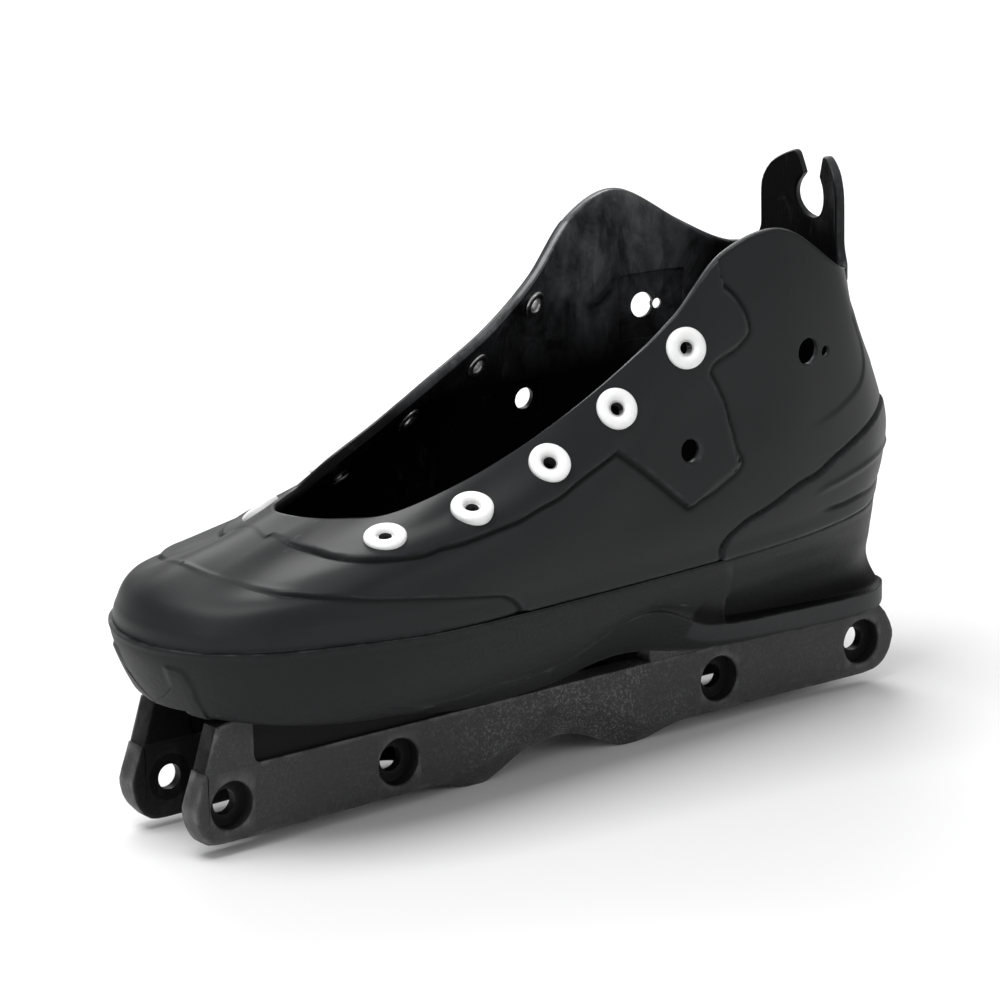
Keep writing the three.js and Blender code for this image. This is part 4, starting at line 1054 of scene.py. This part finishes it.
def painted_rail_shade(nt, co):
    """1 in the counterbores, on the sunk web under the sole and on the inner faces between the rails: the masks of the
    rails' painted shade.
    """
    X, Y, Z = xyz(nt, co)
    ay = math_node(nt, "ABSOLUTE", Y)
    best = None
    for ax in AXLES_X:
        dx = math_node(nt, "SUBTRACT", X, (ax + MOVE[0]) / 1000)
        dz = math_node(nt, "SUBTRACT", Z, MOVE[2] / 1000)
        r2 = math_node(nt, "ADD", math_node(nt, "MULTIPLY", dx, dx), math_node(nt, "MULTIPLY", dz, dz))
        r = math_node(nt, "SQRT", r2)
        best = r if best is None else math_node(nt, "MINIMUM", best, r)
    bore_shade = math_node(nt, "MULTIPLY", span(nt, best, 0.0079, 0.0073), span(nt, ay, 0.0208, 0.0203))
    web = math_node(nt, "MULTIPLY", span(nt, ay, 0.0202, 0.0196), span(nt, X, -0.036, -0.046))
    web = math_node(nt, "MULTIPLY", web, span(nt, Z, 0.0255, 0.0275))
    between_rails_shade = span(nt, ay, 0.0138, 0.0132)
    return math_node(nt, "MAXIMUM", math_node(nt, "MAXIMUM", bore_shade, web), math_node(nt, "MULTIPLY", between_rails_shade, 0.8)), X, Z


def moulded(name, dark, light, rough, grain_scale, grain_bump, wear, spec=0.5, scuff=0.0, edge=(0.505, 0.56), kind=""):
    """Moulded charcoal plastic: broad colour drift, fine grain, rubbed edges and faint scuffs; the frame kind also gets
    painted shade in its hollows and a painted highlight among the speckles along the middle of the rails, the sole kind
    painted shade in its heel cove and painted light on its flange's top.
    """
    m, nt, b, co = material(name)
    drift = noise(nt, co, 22, 3, 0.55)
    fine = noise(nt, co, grain_scale, 2, 0.6)
    speck = noise(nt, co, grain_scale * 0.35, 3, 0.6)
    col = mix_color(nt, ramp(nt, drift, [(0.35, (0,)), (0.65, (1,))]), dark, light)
    col = mix_color(nt, math_node(nt, "MULTIPLY", ramp(nt, speck, [(0.45, (0,)), (0.75, (1,))]), 0.25), col, tuple(c * 1.5 for c in light))
    e = edge_mask(nt, *edge)
    patch = ramp(nt, noise(nt, co, 140, 3, 0.6), [(0.40, (0,)), (0.62, (1,))])
    e = math_node(nt, "MULTIPLY", e, patch)
    col = mix_color(nt, math_node(nt, "MULTIPLY", e, 0.7), col, wear)
    # faint rubbed streaks, stretched along the foot
    mp = nt.nodes.new("ShaderNodeMapping")
    mp.inputs["Scale"].default_value = (0.35, 1.0, 1.0)
    mp.inputs["Rotation"].default_value = (0.0, 0.35, 0.2)
    nt.links.new(co, mp.inputs["Vector"])
    streak = ramp(nt, noise(nt, mp.outputs["Vector"], 420, 4, 0.7, 0.6), [(0.60, (0,)), (0.72, (1,))])
    blot = ramp(nt, noise(nt, co, 28, 2, 0.5), [(0.50, (0,)), (0.62, (1,))])
    rub = math_node(nt, "MULTIPLY", streak, blot)
    col = mix_color(nt, math_node(nt, "MULTIPLY", rub, scuff), col, wear)
    level = None
    if kind == "frame":
        painted_shade_mask, X, Z = painted_rail_shade(nt, co)
        # the rails carry lighter rubbed speckles, denser along their middle, where they also paint the rails' highlight
        mid = math_node(nt, "MULTIPLY", span(nt, X, -0.060, -0.015), span(nt, X, 0.062, 0.020))
        dots = ramp(nt, noise(nt, co, 1500, 3, 0.7), [(0.50, (0,)), (0.66, (1,))])
        patchy = ramp(nt, noise(nt, co, 60, 3, 0.6), [(0.36, (0.25,)), (0.60, (1,))])
        rubbed = math_node(nt, "MULTIPLY", math_node(nt, "MULTIPLY_ADD", mid, 0.75), math_node(nt, "MULTIPLY", dots, patchy))
        for l in rubbed.node.inputs[0].links:
            l.from_node.inputs[2].default_value = 0.18
        col = mix_color(nt, rubbed, col, wear)
        # painted shade: the counterbores, the sunk web and the faces between the rails are darkened to near black, and
        # their specular level is lowered
        col = mix_color(nt, math_node(nt, "MULTIPLY", painted_shade_mask, 0.85), col, (0.0025, 0.0025, 0.0026))
        level = math_node(nt, "MULTIPLY", math_node(nt, "SUBTRACT", 1.0, math_node(nt, "MULTIPLY", painted_shade_mask, 0.72)), spec)
    if kind == "sole":
        at = nt.nodes.new("ShaderNodeAttribute")
        at.attribute_name = "cove"
        painted_shade_mask = at.outputs["Fac"]
        X, Y, Z = xyz(nt, co)
        grained = span(nt, X, -0.078, -0.045)
        dots = ramp(nt, noise(nt, co, 1900, 3, 0.7), [(0.54, (0,)), (0.68, (1,))])
        col = mix_color(nt, math_node(nt, "MULTIPLY", math_node(nt, "MULTIPLY", dots, grained), 0.30), col, wear)
        # painted shade: the heel cove above the flange is darkened to near black, with a lower specular level
        col = mix_color(nt, math_node(nt, "MULTIPLY", painted_shade_mask, 0.8), col, (0.003, 0.003, 0.0031))
        # painted light: the upward-facing top of the heel flange is made lighter than the rest of the sole
        flange_top_light = nt.nodes.new("ShaderNodeAttribute")
        flange_top_light.attribute_name = "flange"
        col = mix_color(nt, flange_top_light.outputs["Fac"], col, (0.0290, 0.0300, 0.0315))
        level = math_node(nt, "MULTIPLY", math_node(nt, "SUBTRACT", 1.0, math_node(nt, "MULTIPLY", painted_shade_mask, 0.75)), spec)
    nt.links.new(col, b.inputs["Base Color"])
    r0 = math_node(nt, "MULTIPLY_ADD", drift, 0.10)
    r0.node.inputs[2].default_value = rough - 0.05
    r1 = math_node(nt, "MULTIPLY_ADD", fine, 0.08)
    nt.links.new(r0, r1.node.inputs[2])
    r2 = math_node(nt, "SUBTRACT", r1, math_node(nt, "MULTIPLY", e, 0.12))
    nt.links.new(r2, b.inputs["Roughness"])
    if level is None:
        b.inputs["Specular IOR Level"].default_value = spec
    else:
        nt.links.new(level, b.inputs["Specular IOR Level"])
    bumps(nt, b, [(drift, 0.0006, 0.12), (speck, 0.00012, grain_bump), (fine, 0.00008, grain_bump)])
    return m


def shell_material():
    """Outside satin and even, with painted shade in its grooves; inside painted dark, rubbed glossy by the liner with
    scuffs that are lighter as wear and as painted sheen, and a painted sheen high up.
    """
    m, nt, b, co = material("shell_plastic_moulded")
    drift = noise(nt, co, 18, 3, 0.55)
    fine = noise(nt, co, 2600, 2, 0.6)
    speck = noise(nt, co, 900, 3, 0.6)
    at = nt.nodes.new("ShaderNodeAttribute")
    at.attribute_name = "inside"
    ins = at.outputs["Fac"]
    col = mix_color(nt, ramp(nt, drift, [(0.35, (0,)), (0.65, (1,))]), SHELL_DARK, SHELL_LIGHT)
    col = mix_color(nt, math_node(nt, "MULTIPLY", ramp(nt, speck, [(0.5, (0,)), (0.8, (1,))]), 0.15), col, tuple(c * 1.6 for c in SHELL_LIGHT))
    e = math_node(nt, "MULTIPLY", edge_mask(nt, 0.508, 0.56), ramp(nt, noise(nt, co, 160, 3, 0.6), [(0.4, (0,)), (0.62, (1,))]))
    col = mix_color(nt, math_node(nt, "MULTIPLY", e, 0.5), col, (0.075, 0.078, 0.083))
    mp = nt.nodes.new("ShaderNodeMapping")
    mp.inputs["Scale"].default_value = (1.0, 1.0, 0.3)
    mp.inputs["Rotation"].default_value = (0.3, 0.5, 0.0)
    nt.links.new(co, mp.inputs["Vector"])
    # liner scuffs inside: lighter as wear and as painted sheen, and lower in roughness
    streak = ramp(nt, noise(nt, mp.outputs["Vector"], 330, 5, 0.7, 0.8), [(0.56, (0,)), (0.70, (1,))])
    blot = ramp(nt, noise(nt, co, 34, 3, 0.6), [(0.47, (0,)), (0.60, (1,))])
    rub = math_node(nt, "MULTIPLY", math_node(nt, "MULTIPLY", streak, blot), ins)
    col = mix_color(nt, math_node(nt, "MULTIPLY", rub, 0.55), col, (0.09, 0.09, 0.095))
    X, Y, Z = xyz(nt, co)
    # painted sheen: high on the inside, smoky lighter streaks stand in for glossy reflections
    high = math_node(nt, "MULTIPLY", span(nt, Z, 0.108, 0.140), span(nt, X, 0.106, 0.094))
    sheen_streaks = ramp(nt, noise(nt, co, 44, 5, 0.62, 1.3), [(0.36, (0.12,)), (0.64, (1,))])
    sheen_streaks = math_node(nt, "MULTIPLY", sheen_streaks, ramp(nt, noise(nt, mp.outputs["Vector"], 130, 4, 0.65, 0.7), [(0.30, (0.35,)), (0.60, (1,))]))
    painted_sheen = math_node(nt, "MULTIPLY", math_node(nt, "MULTIPLY", high, sheen_streaks), ins)
    groove_shade_attr = nt.nodes.new("ShaderNodeAttribute")
    groove_shade_attr.attribute_name = "groove"
    groove = groove_shade_attr.outputs["Fac"]
    # painted shade: the inside is darkened to near black, except where rubbed
    inner_painted_shade = mix_color(nt, math_node(nt, "MULTIPLY", ins, 0.93), col, (0.0030, 0.0030, 0.0032))
    col = mix_color(nt, math_node(nt, "MULTIPLY", rub, 0.4), inner_painted_shade, col)
    col = mix_color(nt, painted_sheen, col, (0.135, 0.139, 0.150))
    # painted shade: the moulded grooves are darkened to near black
    col = mix_color(nt, math_node(nt, "MULTIPLY", groove, 0.85), col, (0.0028, 0.0029, 0.0031))
    nt.links.new(col, b.inputs["Base Color"])
    r0 = math_node(nt, "MULTIPLY_ADD", drift, 0.10)
    r0.node.inputs[2].default_value = SHELL_ROUGH - 0.05
    r1 = math_node(nt, "SUBTRACT", r0, math_node(nt, "MULTIPLY", ins, 0.20))
    r2 = math_node(nt, "MULTIPLY_ADD", rub, 0.22)
    nt.links.new(r1, r2.node.inputs[2])
    r3 = math_node(nt, "SUBTRACT", r2, math_node(nt, "MULTIPLY", e, 0.1))
    nt.links.new(r3, b.inputs["Roughness"])
    low_in = math_node(nt, "MULTIPLY", ins, math_node(nt, "SUBTRACT", 1.0, high))
    level = math_node(nt, "MULTIPLY_ADD", low_in, -0.17)
    level.node.inputs[2].default_value = SHELL_SPEC
    level = math_node(nt, "ADD", level, math_node(nt, "MULTIPLY", math_node(nt, "MULTIPLY", high, ins), 0.30))
    level = math_node(nt, "MULTIPLY", level, math_node(nt, "SUBTRACT", 1.0, math_node(nt, "MULTIPLY", groove, 0.8)))
    nt.links.new(level, b.inputs["Specular IOR Level"])
    wav = noise(nt, co, 95, 2, 0.5)
    amt = math_node(nt, "MULTIPLY", wav, ins)
    bumps(nt, b, [(drift, 0.0006, 0.10), (amt, 0.0007, 0.5), (speck, 0.00006, 0.35), (fine, 0.00004, 0.35)])
    return m


SHELL_DARK = (0.0100, 0.0107, 0.0116)
SHELL_LIGHT = (0.0125, 0.0133, 0.0144)
SHELL_ROUGH = 0.46
SHELL_SPEC = 0.21

mat_shell = shell_material()
mat_sole = moulded("sole_plastic_grained", (0.0070, 0.0075, 0.0081), (0.0092, 0.0098, 0.0106), 0.48, 1500, 0.9, (0.060, 0.062, 0.065), 0.20, 0.10, kind="sole")
mat_frame = moulded("frame_plastic_grained", (0.0225, 0.0226, 0.0233), (0.0275, 0.0276, 0.0285), 0.44, 1250, 1.0, (0.155, 0.155, 0.158), 0.31, 0.14, kind="frame")


def nylon_material():
    m, nt, b, co = material("white_nylon_moulded")
    drift = noise(nt, co, 260, 3, 0.5)
    col = mix_color(nt, ramp(nt, drift, [(0.35, (0,)), (0.7, (1,))]), (0.86, 0.865, 0.86), (0.92, 0.925, 0.92))
    dirt = math_node(nt, "MULTIPLY", ramp(nt, noise(nt, co, 900, 3, 0.6), [(0.62, (0,)), (0.8, (1,))]), 0.12)
    col = mix_color(nt, dirt, col, (0.5, 0.5, 0.49))
    worn = math_node(nt, "MULTIPLY", edge_mask(nt, 0.52, 0.6), 0.12)
    col = mix_color(nt, worn, col, (0.95, 0.95, 0.95))
    nt.links.new(col, b.inputs["Base Color"])
    r = math_node(nt, "MULTIPLY_ADD", drift, 0.12)
    r.node.inputs[2].default_value = 0.30
    nt.links.new(r, b.inputs["Roughness"])
    b.inputs["Subsurface Weight"].default_value = 0.08
    b.inputs["Subsurface Radius"].default_value = (0.0012, 0.0011, 0.0010)
    bumps(nt, b, [(drift, 0.0001, 0.15), (noise(nt, co, 2400, 2), 0.00003, 0.2)])
    return m


def metal_material(name, dark, light, rough, scratch=0.25):
    m, nt, b, co = material(name)
    drift = noise(nt, co, 380, 3, 0.6)
    mp = nt.nodes.new("ShaderNodeMapping")
    mp.inputs["Scale"].default_value = (1.0, 0.12, 1.0)
    nt.links.new(co, mp.inputs["Vector"])
    line = noise(nt, mp.outputs["Vector"], 4200, 3, 0.6)
    col = mix_color(nt, ramp(nt, drift, [(0.3, (0,)), (0.7, (1,))]), dark, light)
    worn = math_node(nt, "MULTIPLY", edge_mask(nt, 0.51, 0.58), 0.4)
    col = mix_color(nt, worn, col, tuple(min(1.0, c * 1.5 + 0.05) for c in light))
    nt.links.new(col, b.inputs["Base Color"])
    b.inputs["Metallic"].default_value = 1.0
    r = math_node(nt, "MULTIPLY_ADD", line, 0.14)
    r.node.inputs[2].default_value = rough - 0.05
    nt.links.new(r, b.inputs["Roughness"])
    bumps(nt, b, [(drift, 0.00008, 0.2), (line, 0.00003, scratch)])
    return m


mat_nylon = nylon_material()
mat_rivet = metal_material("rivet_nickel_satin", (0.50, 0.50, 0.50), (0.70, 0.70, 0.69), 0.28)
mat_bolt = metal_material("bolt_black_oxide", (0.035, 0.035, 0.038), (0.06, 0.06, 0.064), 0.34)
mat_insert = metal_material("insert_zinc", (0.42, 0.42, 0.40), (0.60, 0.60, 0.57), 0.36)


def dress(o, mat):
    o.data.materials.clear()
    o.data.materials.append(mat)
    for p in o.data.polygons:
        p.material_index = 0


# how far each point of the shell is on the inside, for the liner's rub, the inside's painted shade and its painted
# sheen
def mark_inside(o):
    me = o.data
    co = np.zeros(len(me.vertices) * 3)
    me.vertices.foreach_get("co", co)
    co = co.reshape(-1, 3) * 1000 - MOVE
    no = np.zeros(len(me.vertices) * 3)
    me.vertices.foreach_get("normal", no)
    no = no.reshape(-1, 3)
    # axis of the foot: below the collar the inside faces it, the outside faces away
    ax = np.zeros_like(co)
    ax[:, 0] = np.clip(co[:, 0], -95, 92)
    ax[:, 2] = np.clip(co[:, 2], 58, 140)
    toward = ((ax - co) * no).sum(1) / np.maximum(np.linalg.norm(ax - co, axis=1), 1e-3)
    a = me.attributes.new("inside", "FLOAT", "POINT")
    v = smooth(-0.05, 0.30, toward)
    a.data.foreach_set("value", v.astype(np.float32))
    # painted shade in the moulded grooves of the outside
    pick = np.where(build_shell.groove > 0.04)[0]
    tree = KDTree(len(pick))
    for k, p in zip(pick, build_shell.points[pick]):
        tree.insert(Vector(p.tolist()), int(k))
    tree.balance()
    gr = np.zeros(len(co))
    for k in np.where(v < 0.5)[0]:
        q, j, dist = tree.find(Vector(co[k].tolist()))
        if dist < 0.35:
            gr[k] = build_shell.groove[j]
    a = me.attributes.new("groove", "FLOAT", "POINT")
    a.data.foreach_set("value", gr.astype(np.float32))


# painted shade in the hollow of the heel cove above the flange, and painted light on the flange's top
def mark_cove_shade_flange_light(o):
    me = o.data
    co = np.zeros(len(me.vertices) * 3)
    me.vertices.foreach_get("co", co)
    co = co.reshape(-1, 3) * 1000 - MOVE
    ss = np.linspace(0, NCOL, 561)
    ref = ev(SOLE, ss, np.full(561, 4.0), sole_crease)
    # the height of the flange's top beside each point
    z4 = np.zeros(len(co))
    for sgn in (-1, 1):
        m = ref[:, 1] * sgn > 0
        o_ = np.argsort(ref[m, 0])
        pick = co[:, 1] * sgn >= 0
        z4[pick] = np.interp(co[pick, 0], ref[m, 0][o_], ref[m, 2][o_])
    up = co[:, 2] - z4
    # mask of the painted shade in the cove
    v = smooth(44.5, 46.5, co[:, 0]) * smooth(0.0, 1.2, up) * smooth(11.0, 3.0, up)
    a = me.attributes.new("cove", "FLOAT", "POINT")
    a.data.foreach_set("value", v.astype(np.float32))
    # mask of the painted light on the flange's top
    v = smooth(44.5, 46.5, co[:, 0]) * smooth(0.4, -0.2, up) * smooth(-6.5, -5.0, up)
    a = me.attributes.new("flange", "FLOAT", "POINT")
    a.data.foreach_set("value", v.astype(np.float32))


mark_inside(shell)
mark_cove_shade_flange_light(sole)
dress(shell, mat_shell)
dress(sole, mat_sole)
dress(rails, mat_frame)
for o in eyes:
    dress(o, mat_nylon)
for o in rivs:
    dress(o, mat_rivet)
for name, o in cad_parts.items():
    if "frame_bolt" in name or "sole_screw" in name:
        dress(o, mat_bolt)
    elif "insert" in name:
        dress(o, mat_insert)

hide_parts("boot_shell")
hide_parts("sole_base")
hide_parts("frame")
for o, slot_name in [(shell, "shell_plastic"), (sole, "sole_plastic"), (rails, "frame_plastic")] + [(o, "white_nylon") for o in eyes] + [(o, "rivet_steel") for o in rivs]:
    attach(o, "root")

# ------------------------------------------------------- floor, light, camera
bpy.ops.mesh.primitive_plane_add(size=8.0, location=(0, 0, 0))
floor = bpy.context.object
floor.name = "floor"
fm, fnt, fb, fco = material("floor_pale")
fcol = mix_color(fnt, noise(fnt, fco, 3.0, 2), (0.86, 0.86, 0.86), (0.88, 0.88, 0.88))
fnt.links.new(fcol, fb.inputs["Base Color"])
fb.inputs["Roughness"].default_value = 0.9
fb.inputs["Specular IOR Level"].default_value = 0.1
dress(floor, fm)

world = bpy.data.worlds.new("studio")
bpy.context.scene.world = world
world.use_nodes = True
world.node_tree.nodes["Background"].inputs["Color"].default_value = (1.0, 1.0, 1.0, 1)
world.node_tree.nodes["Background"].inputs["Strength"].default_value = 0.40


def softbox(name, at, target, sx, sy, power, color=(1, 1, 1)):
    d = bpy.data.lights.new(name, "AREA")
    d.shape = "RECTANGLE"
    d.size, d.size_y = sx, sy
    d.energy = power
    d.color = color
    o = bpy.data.objects.new(name, d)
    bpy.context.scene.collection.objects.link(o)
    o.location = at
    o.rotation_euler = (Vector(target) - Vector(at)).to_track_quat("-Z", "Y").to_euler()
    return o


softbox("key", (-0.55, 0.02, 1.42), (-0.08, 0.0, 0.05), 0.95, 0.8, 17.5)
softbox("front_left", (-1.45, -0.55, 0.75), (-0.05, 0.0, 0.06), 0.6, 0.6, 3.0)
softbox("side", (0.75, -1.4, 0.65), (0.05, 0.0, 0.06), 0.8, 0.5, 2.5)
softbox("back", (0.5, 1.1, 1.0), (0.05, 0.0, 0.10), 1.0, 0.6, 8.0)
softbox("back_floor", (1.1, 1.5, 1.5), (1.1, 1.45, 0.0), 1.4, 1.4, 16.0)


cam_data = bpy.data.cameras.new("view")
cam = bpy.data.objects.new("view", cam_data)
bpy.context.scene.collection.objects.link(cam)
right, up, fwd = (np.array(v) for v in ((0.7936693, -0.608192, -0.0138401), (0.1758571, 0.2075895, 0.962279), (0.5823774, 0.7661652, -0.2717123)))
eye = (np.array([-803.5031938, -1046.5994255, 439.5067734]) + MOVE) / 1000
rot = Matrix((tuple(right), tuple(up), tuple(-fwd))).transposed().to_4x4()
cam.matrix_world = Matrix.Translation(Vector(eye.tolist())) @ rot
cam_data.sensor_width = 36.0
cam_data.lens = 36.0 * 4386.38 / 1000.0
cam_data.clip_start = 0.05
cam_data.clip_end = 50
cam_data.dof.use_dof = False
bpy.context.scene.camera = cam
bpy.context.scene.view_settings.view_transform = "Standard"
